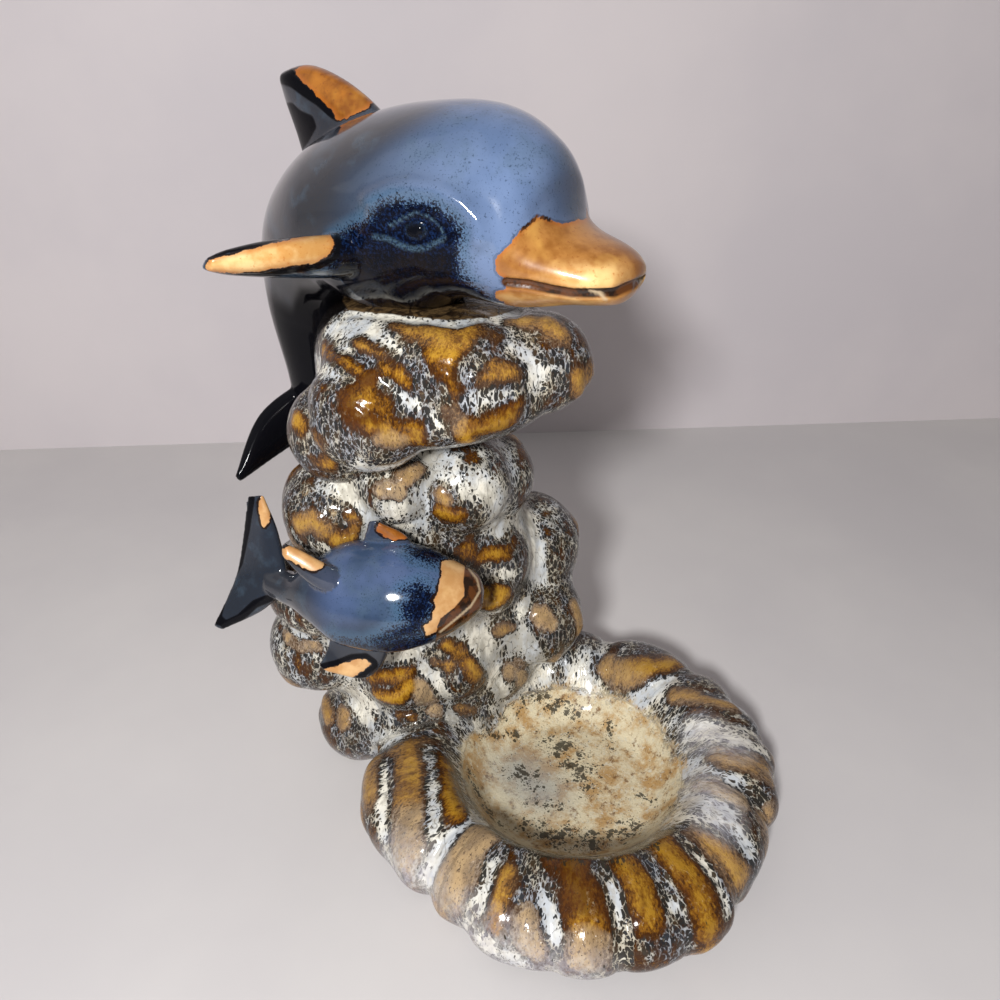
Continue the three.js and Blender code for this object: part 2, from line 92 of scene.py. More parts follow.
def through(pairs, place):
    """Smooth value through (place, value) pairs, with no overshoot between them."""
    x, y = np.array(pairs, float).T
    step = np.diff(y) / np.diff(x)
    slope = np.concatenate([step[:1], np.zeros(len(x) - 2), step[-1:]])
    product = step[:-1] * step[1:]
    total = np.where(step[:-1] + step[1:] == 0, 1, step[:-1] + step[1:])
    slope[1:-1] = np.where(product > 0, 2 * product / total, 0)
    p = np.clip(place, x[0], x[-1])
    k = np.clip(np.searchsorted(x, p, side="right") - 1, 0, len(x) - 2)
    width = x[k + 1] - x[k]
    t = (p - x[k]) / width
    rest = 1 - t
    ends = (1 + 2 * t) * rest * rest * y[k] + t * t * (3 - 2 * t) * y[k + 1]
    return ends + t * rest * width * (rest * slope[k] - t * slope[k + 1])


def soft_max(a, b, softness):
    overlap = np.maximum(softness - np.abs(a - b), 0) / softness
    return np.maximum(a, b) + overlap * overlap * softness / 4


def smooth_step(low, high, value):
    t = np.clip((value - low) / (high - low), 0, 1)
    return t * t * (3 - 2 * t)


def unit(v):
    v = np.asarray(v, float)
    return v / np.linalg.norm(v, axis=-1, keepdims=True)


def full_turn(count):
    """Angles spread evenly over a full turn."""
    return np.linspace(0, 2 * math.pi, count, endpoint=False)


class Curve:
    """Centripetal Catmull-Rom curve through points."""

    def __init__(self, points):
        self.points = np.array(points, float)
        first = 2 * self.points[0] - self.points[1]
        last = 2 * self.points[-1] - self.points[-2]
        self.padded = np.vstack([first, self.points, last])
        fine = np.linspace(0, 1, 1500)
        spots = self.at(fine)
        lengths = np.linalg.norm(np.diff(spots, axis=0), axis=1)
        self.along = np.concatenate([[0], np.cumsum(lengths)])
        self.fine = fine

    def at(self, share):
        share = np.atleast_1d(np.asarray(share, float))
        segments = len(self.points) - 1
        place = np.clip(share, 0, 1) * segments
        k = np.minimum(place.astype(int), segments - 1)
        t = (place - k)[:, None]
        p0, p1, p2, p3 = [self.padded[k + i] for i in range(4)]
        d0, d1, d2 = [
            np.linalg.norm(b - a, axis=1, keepdims=True) ** 0.5 for a, b in ((p0, p1), (p1, p2), (p2, p3))
        ]
        t1 = ((p1 - p0) / d0 - (p2 - p0) / (d0 + d1) + (p2 - p1) / d1) * d1
        t2 = ((p2 - p1) / d1 - (p3 - p1) / (d1 + d2) + (p3 - p2) / d2) * d1
        square = -3 * p1 + 3 * p2 - 2 * t1 - t2
        cube = 2 * p1 - 2 * p2 + t1 + t2
        return p1 + t1 * t + square * t ** 2 + cube * t ** 3

    def even(self, share):
        """Point at a share of the curve's length."""
        return self.at(np.interp(np.asarray(share) * self.along[-1], self.along, self.fine))

    def tangent(self, share):
        step = 1e-3
        high = np.minimum(np.asarray(share) + step, 1)
        low = np.maximum(np.asarray(share) - step, 0)
        return unit(self.even(high) - self.even(low))


# Meshes

class Skin:
    """A closed surface as arrays: points in millimetres in the figurine's plan, and faces."""

    def __init__(self, points, faces):
        self.points = np.array(points, float)
        self.faces = faces
        self.fields = {}


def loft(rings):
    """Closed skin over rings of equally many points, its ends closed by fans."""
    rings = np.array(rings)
    rows, count, _ = rings.shape
    points = np.vstack([rings[0].mean(axis=0), rings.reshape(-1, 3), rings[-1].mean(axis=0)])
    start = 1 + np.arange(rows - 1)[:, None] * count
    i = np.arange(count)
    j = (i + 1) % count
    quads = np.stack([start + i, start + j, start + j + count, start + i + count], axis=-1).reshape(-1, 4)
    last = 1 + (rows - 1) * count
    first_fan = [(0, 1 + b, 1 + a) for a, b in zip(i, j)]
    last_fan = [(last + a, last + b, len(points) - 1) for a, b in zip(i, j)]
    return Skin(points, quads.tolist() + first_fan + last_fan)


def add_object(name, data):
    item = bpy.data.objects.new(name, data)
    bpy.context.scene.collection.objects.link(item)
    return item


def to_object(name, skins):
    mesh = bpy.data.meshes.new(name)
    points = np.vstack([s.points for s in skins])
    faces = []
    start = 0
    for s in skins:
        faces += [[start + i for i in face] for face in s.faces]
        start += len(s.points)
    mesh.from_pydata(((points + plan) * MM).tolist(), [], faces)
    mesh.validate()
    return add_object(name, mesh)


def outward(item):
    """Turns the faces of each closed part of a mesh outwards."""
    work = bmesh.new()
    work.from_mesh(item.data)
    bmesh.ops.recalc_face_normals(work, faces=work.faces)
    work.to_mesh(item.data)
    work.free()


def fuse(name, skins, voxel, passes):
    """One even skin over several closed ones, with the glaze filling the creases between them."""
    rough = to_object(name + "_rough", skins)
    outward(rough)
    remesh = rough.modifiers.new("even", "REMESH")
    remesh.mode = "VOXEL"
    remesh.voxel_size = voxel * MM
    mesh = bpy.data.meshes.new_from_object(rough.evaluated_get(bpy.context.evaluated_depsgraph_get()))
    mesh.name = name
    old = rough.data
    bpy.data.objects.remove(rough)
    bpy.data.meshes.remove(old)
    item = add_object(name, mesh)
    mesh.polygons.foreach_set("use_smooth", np.ones(len(mesh.polygons), bool))
    relax(mesh, passes)
    return item


def numbers_of(entries, name, width, kind=float):
    """Numbers of a mesh's vertices, normals or edges, a row each."""
    flat = np.empty(len(entries) * width, kind)
    entries.foreach_get(name, flat)
    return flat.reshape(-1, width)


def points_of(mesh):
    return numbers_of(mesh.vertices, "co", 3) / MM - plan


def set_points(mesh, points):
    mesh.vertices.foreach_set("co", ((points + plan) * MM).ravel())
    mesh.update()


def normals_of(mesh):
    return numbers_of(mesh.vertex_normals, "vector", 3)


def edges_of(mesh):
    return numbers_of(mesh.edges, "vertices", 2, int)


def spread(values, edges, passes, pull=0.5, push=-0.52):
    """Evens values out along edges, with a push back after each pull, so that forms keep their size."""
    values = np.array(values, float).reshape(len(values), -1)
    a, b = edges.T
    count = np.maximum(np.bincount(a, minlength=len(values)) + np.bincount(b, minlength=len(values)), 1)
    for step in [pull, push] * passes:
        for k in range(values.shape[1]):
            column = values[:, k]
            total = np.bincount(a, column[b], len(column)) + np.bincount(b, column[a], len(column))
            values[:, k] = column + step * (total / count - column)
    return values


def relax(mesh, passes):
    set_points(mesh, spread(points_of(mesh), edges_of(mesh), passes))


def store(mesh, name, values):
    values = np.asarray(values, np.float32)
    kind, slot = ("FLOAT", "value") if values.ndim == 1 else ("FLOAT_VECTOR", "vector")
    mesh.attributes.new(name, kind, "POINT").data.foreach_set(slot, values.ravel())


# Camera

def camera_axes():
    """The camera's right, up and view directions."""
    level = np.append(camera_heading, 0)
    view = unit(level * math.cos(camera_pitch) - np.array([0, 0, math.sin(camera_pitch)]))
    right = unit(np.cross(view, (0, 0, 1)))
    return right, np.cross(right, view), view


def make_camera():
    camera = add_object("camera", bpy.data.cameras.new("camera"))
    camera.data.sensor_width = sensor_width
    camera.data.lens = sensor_width * focal_pixels / photo_pixels
    camera.data.clip_start = 0.01
    camera.location = (camera_place + plan) * MM
    camera.rotation_euler = Vector(camera_axes()[2]).to_track_quat("-Z", "Y").to_euler()
    bpy.context.scene.camera = camera


def sight(pixel):
    """Direction from the camera through a pixel of the photograph."""
    right, up, view = camera_axes()
    x, y = (np.array(pixel, float) - photo_pixels / 2) / focal_pixels
    return unit(view + x * right - y * up)


def seen_on(tree, pixel):
    """Place on a surface that the photograph shows at a pixel."""
    hit = tree.ray_cast(Vector((camera_place + plan) * MM), Vector(sight(pixel)))
    return None if hit[0] is None else np.array(hit[0]) / MM - plan


# Rock column

column_height = 100
column_foot = np.array([9.0, 17.0])
column_head = np.array([-6.0, 11.0])
column_long = 32
column_short = 21
column_turn = math.radians(-33)
column_taper = [(0, 0.82), (0.04, 0.86), (0.4, 1), (0.8, 0.82), (0.96, 0.62), (1.03, 0.4)]
column_wall = 5
column_count = 360
cavity_height = 70
lobe_crease = 4

# Lobes of the column: angle in degrees, height, distance from the axis, radius
column_lobes = [
    (153, 81, 18, 13.5), (213, 91, 12, 9), (284, 88, 14, 12), (316, 85, 19, 11), (336, 55, 30, 15),
    (294, 63, 16, 12.5), (271, 59, 23, 5.5), (312, 38, 28, 14), (293, 24, 17, 10.5), (197, 32, 18, 10),
    (246, 33, 15, 10), (190, 16, 18, 12), (214, 15, 20, 10.5), (250, 12, 15, 10), (161, 9, 25, 12),
    (147, 37, 30, 13.5), (226, 67, 11, 12), (150, 58, 27, 13), (20, 70, 20, 13), (70, 80, 10, 13),
    (100, 55, 13, 15), (50, 46, 16, 16), (5, 34, 27, 15), (80, 22, 12, 16), (122, 74, 12, 14),
    (125, 30, 22, 15), (22, 13, 22, 14), (345, 79, 17, 12),
]


def column_axis(height):
    share = np.asarray(height, float)[..., None] / column_height
    return column_foot + (column_head - column_foot) * share


def column_core(angle, height):
    turned = angle - column_turn
    stretch = np.hypot(np.cos(turned) / column_long, np.sin(turned) / column_short)
    return through(column_taper, height / column_height) / stretch


def ball_reach(to_ball, direction, radius):
    along = (to_ball * direction).sum(axis=-1)
    room = along ** 2 - (to_ball ** 2).sum(axis=-1) + radius ** 2
    return along + np.sign(room) * np.sqrt(np.abs(room))


def column_reach(angle, height):
    direction = np.stack([np.cos(angle), np.sin(angle), np.zeros_like(angle)], axis=-1)
    centre = np.concatenate([column_axis(height), height[..., None]], axis=-1)
    reach = column_core(angle, height)
    for turn, up, distance, radius in column_lobes:
        side = np.array([math.cos(math.radians(turn)), math.sin(math.radians(turn))])
        lobe = np.append(column_axis(np.array(up)) + distance * side, up)
        reach = soft_max(reach, ball_reach(lobe - centre, direction, radius), lobe_crease)
    return reach


def column_depth(points):
    """How far inside the column's surface points lie, level."""
    away = points[:, :2] - column_axis(points[:, 2])
    angle = np.arctan2(away[:, 1], away[:, 0])
    return column_reach(angle, points[:, 2]) - np.hypot(*away.T), angle


def level_ring(heights, reach, count):
    angle = full_turn(count)[None, :]
    height = np.asarray(heights, float)[:, None] + 0 * angle
    r = reach(angle + 0 * height, height)
    x, y = np.moveaxis(column_axis(height), -1, 0)
    return np.stack([x + r * np.cos(angle), y + r * np.sin(angle), height], axis=-1)


def column_skin():
    dome = [(0, 1), (0.55, 0.95), (0.8, 0.78), (0.94, 0.45), (1, 0.15)]

    def cavity(angle, height):
        return (column_core(angle, height) - column_wall) * through(dome, height / cavity_height)

    inner = level_ring(np.linspace(cavity_height, 0, 60), cavity, column_count)
    outer = level_ring(np.linspace(0, column_height * 1.03, 190), column_reach, column_count)
    return loft(np.concatenate([inner, outer]))


# Dish

dish_centre = np.array([3.6, -33.9])
ring_radius = 36.5
ring_width = 17
ring_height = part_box("scallop_dish")[1].z / MM
groove_depth = 5
floor_height = 7
floor_radius = 20
foot_radius = 43
foot_width = 6
foot_recess = 2

# Section of the ring: degrees at which it starts and that it sweeps, and how a groove lowers it
ring_start = -62
ring_sweep = 152
groove_fall = 0.5
groove_lean = 0.3

# Lobes of the dish: where each ends, in degrees, how far it stands out, in percent of the ring's width,
# and how deep the groove at its end is, in percent of the groove depth
dish_lobes = [
    (156, 3, 0), (174, -12, 95), (189, -22, 40), (212, -3, 30), (228, 0, 45), (245, 0, 40), (261, 2, 50),
    (290, -16, 100), (304, -8, 45), (318, -4, 45), (334, 2, 45), (350, 0, 80), (382, 6, 100),
    (412, 0, 60), (446, 0, 60), (485, 0, 100),
]
dish_lobes_start = 125


def dish_lobe(angle):
    """Depth of the groove and stand-out, in millimetres, at angles round the dish."""
    turned = dish_lobes_start + (np.degrees(angle) - dish_lobes_start) % 360
    ends, out, grooves = np.array(dish_lobes, float).T
    starts = np.concatenate([[dish_lobes_start], ends[:-1]])
    k = np.clip(np.searchsorted(ends, turned, side="right"), 0, len(ends) - 1)
    across = np.clip(2 * (turned - starts[k]) / (ends[k] - starts[k]) - 1, -1, 1)
    before = (k - 1) % len(out)
    neighbour = np.where(across > 0, (k + 1) % len(out), before)
    stand_out = out[k] + (out[neighbour] - out[k]) * 0.5 * np.abs(across) ** 3
    groove = grooves[np.where(across > 0, k, before)] * (1 - np.sqrt(1 - across ** 2))
    return groove_depth * groove / 100, ring_width * stand_out / 100


def ring_outer(angle, share):
    groove, stand_out = dish_lobe(angle)
    around = np.radians(ring_start + ring_sweep * share)
    width = ring_width + stand_out - groove
    rise = ring_height / 2 - groove * (groove_fall + groove_lean * np.cos(around))
    return ring_radius + width * np.cos(around), ring_height / 2 + rise * np.sin(around)


def ring_inner(angle, share):
    crest = ring_outer(angle, 1)[1]
    fall = 0.5 - 0.5 * math.cos(math.pi * share)
    radius = ring_radius + (floor_radius - ring_radius) * share
    return radius + 0 * angle, crest + (floor_height - crest) * fall


def dish_skin():
    angle = full_turn(720)
    inner = foot_radius - foot_width
    flat = [(inner / 2, foot_recess), (inner - 1, foot_recess), (inner, 0), (foot_radius, 0)]
    profile = [(r + 0 * angle, z + 0 * angle) for r, z in flat]
    profile += [ring_outer(angle, share) for share in np.linspace(0, 1, 44)]
    profile += [ring_inner(angle, share) for share in np.linspace(0.04, 1, 24)]
    level = floor_height + 0 * angle
    profile += [(floor_radius * share + 0 * angle, level) for share in (0.8, 0.6, 0.4, 0.2)]
    rings = [
        np.stack([dish_centre[0] + r * np.cos(angle), dish_centre[1] + r * np.sin(angle), z], axis=-1)
        for r, z in profile
    ]
    skin = loft(rings)
    depth, turn = column_depth(skin.points)
    buried = np.maximum(depth - column_wall * 0.6, 0)
    skin.points[:, 0] += buried * np.cos(turn)
    skin.points[:, 1] += buried * np.sin(turn)
    return skin


# Boulder

boulder_rise = 10
boulder_size = np.array([23.0, 29.0])
boulder_crown = boulder_top - column_height - boulder_rise
boulder_keel = 10
underside_slope = 0.18
boulder_squareness = 4
boulder_middle = np.array([*boulder_xy, column_height + boulder_rise])

# Lobes of the boulder: place from its middle, radius
boulder_lobes = [
    (-18, 1, 2, 13), (-15, 15, -8, 12), (-7, -13, 10, 11.5), (9, -22, 10, 10.5), (4, -14, 7, 9.5),
    (15, -8, 8, 11), (14, 12, 1, 13), (2, 18, -3, 12),
]


def boulder_skin():
    polar = np.linspace(0, math.pi, 262)[1:-1][::-1, None]
    turn = full_turn(360)[None, :]
    direction = np.stack([
        np.sin(polar) * np.cos(turn), np.sin(polar) * np.sin(turn), np.cos(polar) + 0 * turn
    ], axis=-1)
    flat = np.hypot(direction[..., 0] / boulder_size[0], direction[..., 1] / boulder_size[1])
    above = np.maximum(direction[..., 2], 0) / boulder_crown
    below = np.minimum(direction[..., 2] + underside_slope * direction[..., 1], 0) / boulder_keel
    square = flat ** boulder_squareness + above ** boulder_squareness
    reach = np.minimum(square ** (-1 / boulder_squareness), 1 / np.hypot(flat, below))
    for x, y, z, radius in boulder_lobes:
        reach = soft_max(reach, ball_reach(np.array([x, y, z], float), direction, radius), lobe_crease)
    points = direction * reach[..., None]
    points[..., 2] = np.minimum(points[..., 2], boulder_crown)
    return loft(points + boulder_middle)


# Dolphins

# A body's rings crowd towards its head, whose tip rounds off over a share of the length. A fin's section
# is thickest forward of its middle.
head_crowding = 1.25
tip_share = 0.012
tip_least = 0.05
section_points = 25
section_forward = 0.7
section_fullness = 0.6


def body_skin(path, across, stations, rows, count):
    """Body lofted along a path, with the share of its length and the angle of each point as fields."""
    curve = Curve(path)
    share = np.linspace(0, 1, rows) ** head_crowding
    centre, along = curve.even(share), curve.tangent(share)
    up = unit(np.cross(across, along))
    out = np.cross(along, up)
    angle = full_turn(count)
    side, back, belly = [through([(s[0], s[k]) for s in stations], share)[:, None] for k in (1, 2, 3)]
    tall = np.where(np.sin(angle) > 0, back, belly)
    tip = np.sqrt(np.clip(share / tip_share, tip_least, 1))[:, None]
    rings = centre[:, None] + out[:, None] * (np.cos(angle) * side * tip)[..., None]
    rings = rings + up[:, None] * (np.sin(angle) * tall * tip)[..., None]
    skin = loft(rings)
    whole = np.repeat(share, count)
    skin.fields["share"] = np.concatenate([[0], whole, [1]])
    turn = np.tile(angle, rows)
    skin.fields["turn"] = np.concatenate([[0], turn, [0]])
    return skin


def fin_skin(leading, trailing, thickness, normal, rows=46):
    """Fin between two edges. Its fields give the share from root to tip and the place round its section."""
    share = np.linspace(0, 1, rows)
    front, rear = Curve(leading).at(share), Curve(trailing).at(share)
    v = (1 - np.cos(np.linspace(0, math.pi, section_points))) / 2
    half = through(thickness, share)[:, None] / 2
    swell = np.abs(np.sin(math.pi * v ** section_forward)) ** section_fullness
    upper = front[:, None] + (rear - front)[:, None] * v[:, None]
    lift = np.array(normal) * (half * swell)[..., None]
    rings = np.concatenate([upper + lift, (upper - lift)[:, -2:0:-1]], axis=1)
    skin = loft(rings)
    round_section = np.concatenate([v, -v[-2:0:-1]])
    skin.fields["root_to_tip"] = np.concatenate([[0], np.repeat(share, len(round_section)), [1]])
    skin.fields["section"] = np.concatenate([[0], np.tile(round_section, rows), [0]])
    return skin


def carry(skins, mesh, names):
    """Fields of several skins at each point of a mesh, from the nearest point of the one it belongs to."""
    points = points_of(mesh)
    sizes = [len(s.points) for s in skins]
    tree = KDTree(sum(sizes))
    for i, point in enumerate(np.vstack([s.points for s in skins])):
        tree.insert(point, i)
    tree.balance()
    owner = np.repeat(np.arange(len(skins)), sizes)
    found = np.array([tree.find(point)[1] for point in points])
    result = {"owner": owner[found]}
    for name in names:
        whole = np.concatenate([s.fields.get(name, np.full(len(s.points), np.nan)) for s in skins])
        result[name] = whole[found]
    return result


dolphin_length = 126
belly_sink = 1


def from_top(x, y, z):
    """Place of the large dolphin, in percent of its length, from the boulder's top."""
    place = np.array([x, y, z]) * dolphin_length / 100
    return place + np.array([*boulder_xy, boulder_top - belly_sink])


def places(measure, spots):
    """Places in the plan of spots given in a measure of their own, such as percent of a dolphin's length."""
    return [measure(*spot) for spot in spots]


def in_millimetres(stations, length):
    return [(at, *(reach * length / 100 for reach in reaches)) for at, *reaches in stations]


# A station has its share of the body's length, then the reach to the side, to the back and to the belly,
# in percent of that length
dolphin_path = places(from_top, [
    (3.2, -36.5, 9), (2.8, -30.2, 10.3), (1.6, -22.2, 11.9), (0.4, -11.9, 15.5), (0, 1.6, 15.9),
    (0, 13.5, 12.7), (0, 23, 5.6), (0, 28.6, -4.8), (0, 31, -19), (0, 33.3, -28.6),
])
dolphin_stations = in_millimetres([
    (0, 2.7, 1.4, 1.6), (0.012, 4.9, 2.7, 3), (0.04, 7.1, 3.8, 4.2), (0.09, 8.8, 4.4, 5.8),
    (0.125, 10.3, 5.7, 7.3), (0.165, 11.9, 11.4, 9.3), (0.21, 13, 14.1, 11.1), (0.27, 15.6, 15.3, 12.7),
    (0.36, 17.5, 14.4, 16), (0.47, 17.5, 13.5, 16.5), (0.58, 15.5, 12.7, 13.1), (0.7, 11.9, 10.7, 10.3),
    (0.82, 8.3, 9, 8.3), (0.92, 6, 7.1, 6.3), (1, 4.4, 5.2, 4.8),
], dolphin_length)


def dolphin_skins():
    """Body, dorsal fin, right and left flipper, and flukes. Thicknesses are in millimetres."""
    flipper, dorsal, fluke = 8, 6.5, 6
    sideways = (1, 0, 0)
    body = body_skin(dolphin_path, sideways, dolphin_stations, rows=260, count=200)
    back_fin = fin_skin(
        places(from_top, [(0, 3.2, 23.8), (0, 11.9, 29.8), (0, 19, 32.9), (0, 26.2, 34.3), (0, 31.3, 33.3)]),
        places(from_top, [(0, 23.8, 11.1), (0, 28.6, 18.3), (0, 30.6, 23.8), (0, 32.5, 28.6),
                          (0, 33.3, 32.1)]),
        [(0, dorsal * 1.2), (0.5, dorsal), (0.9, dorsal * 0.7), (1, dorsal * 0.4)], sideways)

    def side_fin(sign):
        def at(x, y, z):
            return from_top(sign * x, y, z)
        return fin_skin(
            places(at, [(9.5, -4, 11.9), (19, -1.6, 12.7), (27.8, 0, 13.5), (36.1, 4.8, 13.2)]),
            places(at, [(9.5, 10.3, 6.3), (19, 10.3, 7.9), (27.8, 9.9, 9.9), (36.1, 7.5, 11.9)]),
            [(0, flipper), (0.6, flipper * 0.8), (0.9, flipper * 0.5), (1, flipper * 0.25)],
            unit([0, 0.25, 1]))

    tail = fin_skin(
        places(from_top, [(-19.8, 35.7, -36.5), (-11.1, 36.5, -26.2), (0, 33.3, -21.4), (11.1, 36.5, -26.2),
                          (19.8, 35.7, -36.5)]),
        places(from_top, [(-19, 36, -38.1), (-9.5, 35.7, -35.7), (0, 34.9, -33.3), (9.5, 35.7, -35.7),
                          (19, 36, -38.1)]),
        [(0, 1.5), (0.1, fluke * 0.6), (0.5, fluke), (0.9, fluke * 0.6), (1, 1.5)], (0, 1, 0), rows=80)
    return [body, back_fin, side_fin(-1), side_fin(1), tail]


# Calf, whose angles round the column are in degrees

calf_length = 53
calf_angle = 211
calf_height = 70
calf_stand_off = 7
tail_turn = -50
tail_drop = 6
tail_stand_off = 12.2


def beside_column(turn, rise, stand_off):
    """Place beside the column, turned and raised from the calf's middle and standing off its surface."""
    height = np.array([calf_height + rise], float)
    angle = np.array([math.radians(calf_angle + turn)])
    reach = column_reach(angle, height)[0] + stand_off
    x, y = column_axis(height)[0]
    return np.array([x + reach * math.cos(angle[0]), y + reach * math.sin(angle[0]), height[0]])


calf_middle = beside_column(0, 0, calf_stand_off)
calf_forward = unit(calf_middle - beside_column(tail_turn, -tail_drop, tail_stand_off))
calf_back = np.array([-0.62, -0.52, 0.59])
calf_back = unit(calf_back - calf_forward * (calf_back @ calf_forward))
calf_left = np.cross(calf_back, calf_forward)


def on_calf(forward, left, back):
    """Place on the calf from its middle, in percent of its length."""
    place = forward * calf_forward + left * calf_left + back * calf_back
    return calf_middle + place * calf_length / 100


calf_path = places(on_calf, [
    (40.9, -0.9, -4.7), (26.4, -1.5, -1.5), (9.4, -0.9, 0.6), (-11.3, 0.9, 0.9), (-28.3, 2.8, -1.9),
    (-43.4, 4.7, -6.2), (-56.6, 9.4, -8.5),
])
calf_stations = in_millimetres([
    (0, 4.5, 2.8, 3.2), (0.03, 8.3, 5.9, 6), (0.12, 14.3, 11.3, 11), (0.24, 20.3, 16.6, 16.2),
    (0.4, 23.8, 18.9, 18.1), (0.58, 22.3, 17, 16.2), (0.74, 14.3, 12.5, 11.3), (0.86, 8.3, 8.3, 7.5),
    (1, 6, 4.9, 4.9),
], calf_length)


def calf_skins():
    """Body, dorsal fin, upper and lower flipper, and flukes. Thicknesses are in millimetres."""
    fin = 3.6
    profile = [(0, fin * 1.4), (0.7, fin), (1, fin * 0.5)]
    body = body_skin(calf_path, calf_left, calf_stations, rows=160, count=140)
    back_fin = fin_skin(
        places(on_calf, [(-7.5, 3.8, 9.4), (-17, 9.4, 20.8), (-32.1, 19.8, 27.4)]),
        places(on_calf, [(-28.3, 3.8, 5.7), (-30.2, 9.4, 15.1), (-34.9, 19.8, 25.7)]),
        [(0, fin * 1.8), (0.7, fin * 1.5), (1, fin * 0.9)], calf_left, rows=30)
    upper = fin_skin(
        places(beside_column, [(14, 6, 6), (12, 12.5, 5.5), (-4, 17, 2.2)]),
        places(beside_column, [(-11, 4, 5), (-13, 11, 4), (-9, 16.5, 2.6)]),
        profile, calf_back, rows=30)
    lower = fin_skin(
        places(on_calf, [(-1.9, -11.3, -5.7), (-5.7, -26.4, -13.2), (-17, -35.8, -17), (-33, -32.1, -13.2)]),
        places(on_calf, [(-30, -9.4, -5.7), (-31, -18.9, -10.4), (-34, -24.5, -12.3), (-37, -29.2, -12.5)]),
        profile, calf_back, rows=30)
    tail = fin_skin(
        places(on_calf, [(-50.9, 45.3, 7.5), (-48.1, 28.3, 0), (-49.1, 7.5, -7.5), (-60.4, -2.8, -10.4),
                         (-83, -11.3, -13.2)]),
        places(on_calf, [(-58.5, 45.3, 7.5), (-67, 28.3, -3.8), (-74, 13.2, -10.4), (-80.5, 1.9, -12.3),
                         (-87.5, -9.4, -13.2)]),
        [(0, 1.2), (0.15, 3), (0.5, 4.4), (0.85, 3), (1, 1.2)], calf_back, rows=50)
    return [body, back_fin, upper, lower, tail]


# Strokes of the rock's glaze

# Ridges are where the thin glaze leaves amber or tan, and pools where it gathers white; the pools named for
# a glare are painted highlights.
# Between them lies a lace of dark cells, densest along the strokes of the third kind.
# Each is a name with the pixels of the photograph that it runs through and its half width in
# millimetres, and for a ridge its tan share, which is below 0 where the amber is dark brown.

boulder_ridges = {
    "left_crest": ([(325, 350), (346, 361), (361, 369)], 1.3, 0),
    "upper_left": ([(356, 344), (373, 350), (386, 355)], 1.0, 0.1),
    "left_knob": ([(388, 369), (405, 382)], 1.9, 0),
    "left_heart": ([(358, 394), (369, 402), (384, 398)], 2.1, -0.2),
    "left_dark": ([(369, 377), (352, 390), (354, 407), (369, 419)], 1.5, -0.9),
    "left_low": ([(371, 424), (384, 428)], 1.0, 0.1),
    "left_foot": ([(386, 436), (403, 438)], 1.2, 0.6),
    "middle_foot": ([(406, 426), (419, 430), (421, 439)], 1.7, -0.3),
    "top_left": ([(394, 329), (419, 333), (440, 339)], 1.7, 0.15),
    "top_right": ([(440, 339), (457, 348), (474, 340), (487, 331)], 2.0, 0.1),
    "top_drop": ([(432, 356), (455, 354)], 1.7, 0),
    "seam_upper": ([(438, 369), (451, 379), (457, 388)], 1.2, -0.4),
    "oval": ([(480, 378), (510, 377)], 1.8, 0.15),
    "seam_lower": ([(447, 409), (448, 415)], 1.1, 0.3),
    "hook": ([(518, 403), (508, 419), (491, 426), (474, 428), (466, 436)], 1.2, -0.4),
    "hook_foot": ([(461, 426), (468, 440)], 1.1, 0.4),
    "far_left": ([(298, 419), (309, 430)], 1.3, 0.05),
    "far_left_low": ([(316, 442), (328, 459)], 2.0, 0.1),
    "right_top": ([(512, 321), (529, 321)], 1.3, 0.4),
    "right_slope": ([(545, 323), (559, 334)], 1.3, 0.3),
    "right_edge": ([(577, 379), (579, 393)], 1.0, 0.2),
    "rim_brown": ([(415, 311), (445, 311), (474, 310)], 1.2, 0.2),
}

boulder_pools = {
    "top_band": ([(335, 327), (367, 327), (386, 337)], 1.7),
    "cross_band": ([(386, 344), (403, 354), (415, 367), (428, 382)], 1.5),
    "channel": ([(430, 384), (436, 403), (437, 424), (439, 438)], 1.7),
    "rim_line": ([(348, 314), (411, 320), (453, 325), (495, 320), (518, 311)], 1.0),
    "right_band": ([(489, 329), (482, 348), (472, 365), (466, 382)], 1.3),
    "right_large": ([(512, 348), (533, 363), (533, 386), (531, 407)], 1.6),
    "far_right": ([(547, 373), (558, 365)], 1.2),
    "under_oval": ([(470, 396), (493, 392), (512, 390)], 1.2),
    "left_band": ([(304, 403), (321, 419), (340, 442), (356, 461), (371, 472)], 1.1),
    "left_row": ([(316, 368), (337, 375), (354, 383)], 1.1),
    "upper_row": ([(337, 348), (354, 355), (369, 363)], 0.9),
    "foot_line": ([(379, 470), (411, 459), (445, 449), (474, 444)], 0.8),
    # Painted highlight: white laid where a glare shines.
    "glare_patch": ([(394, 392), (411, 403)], 1.6),
}

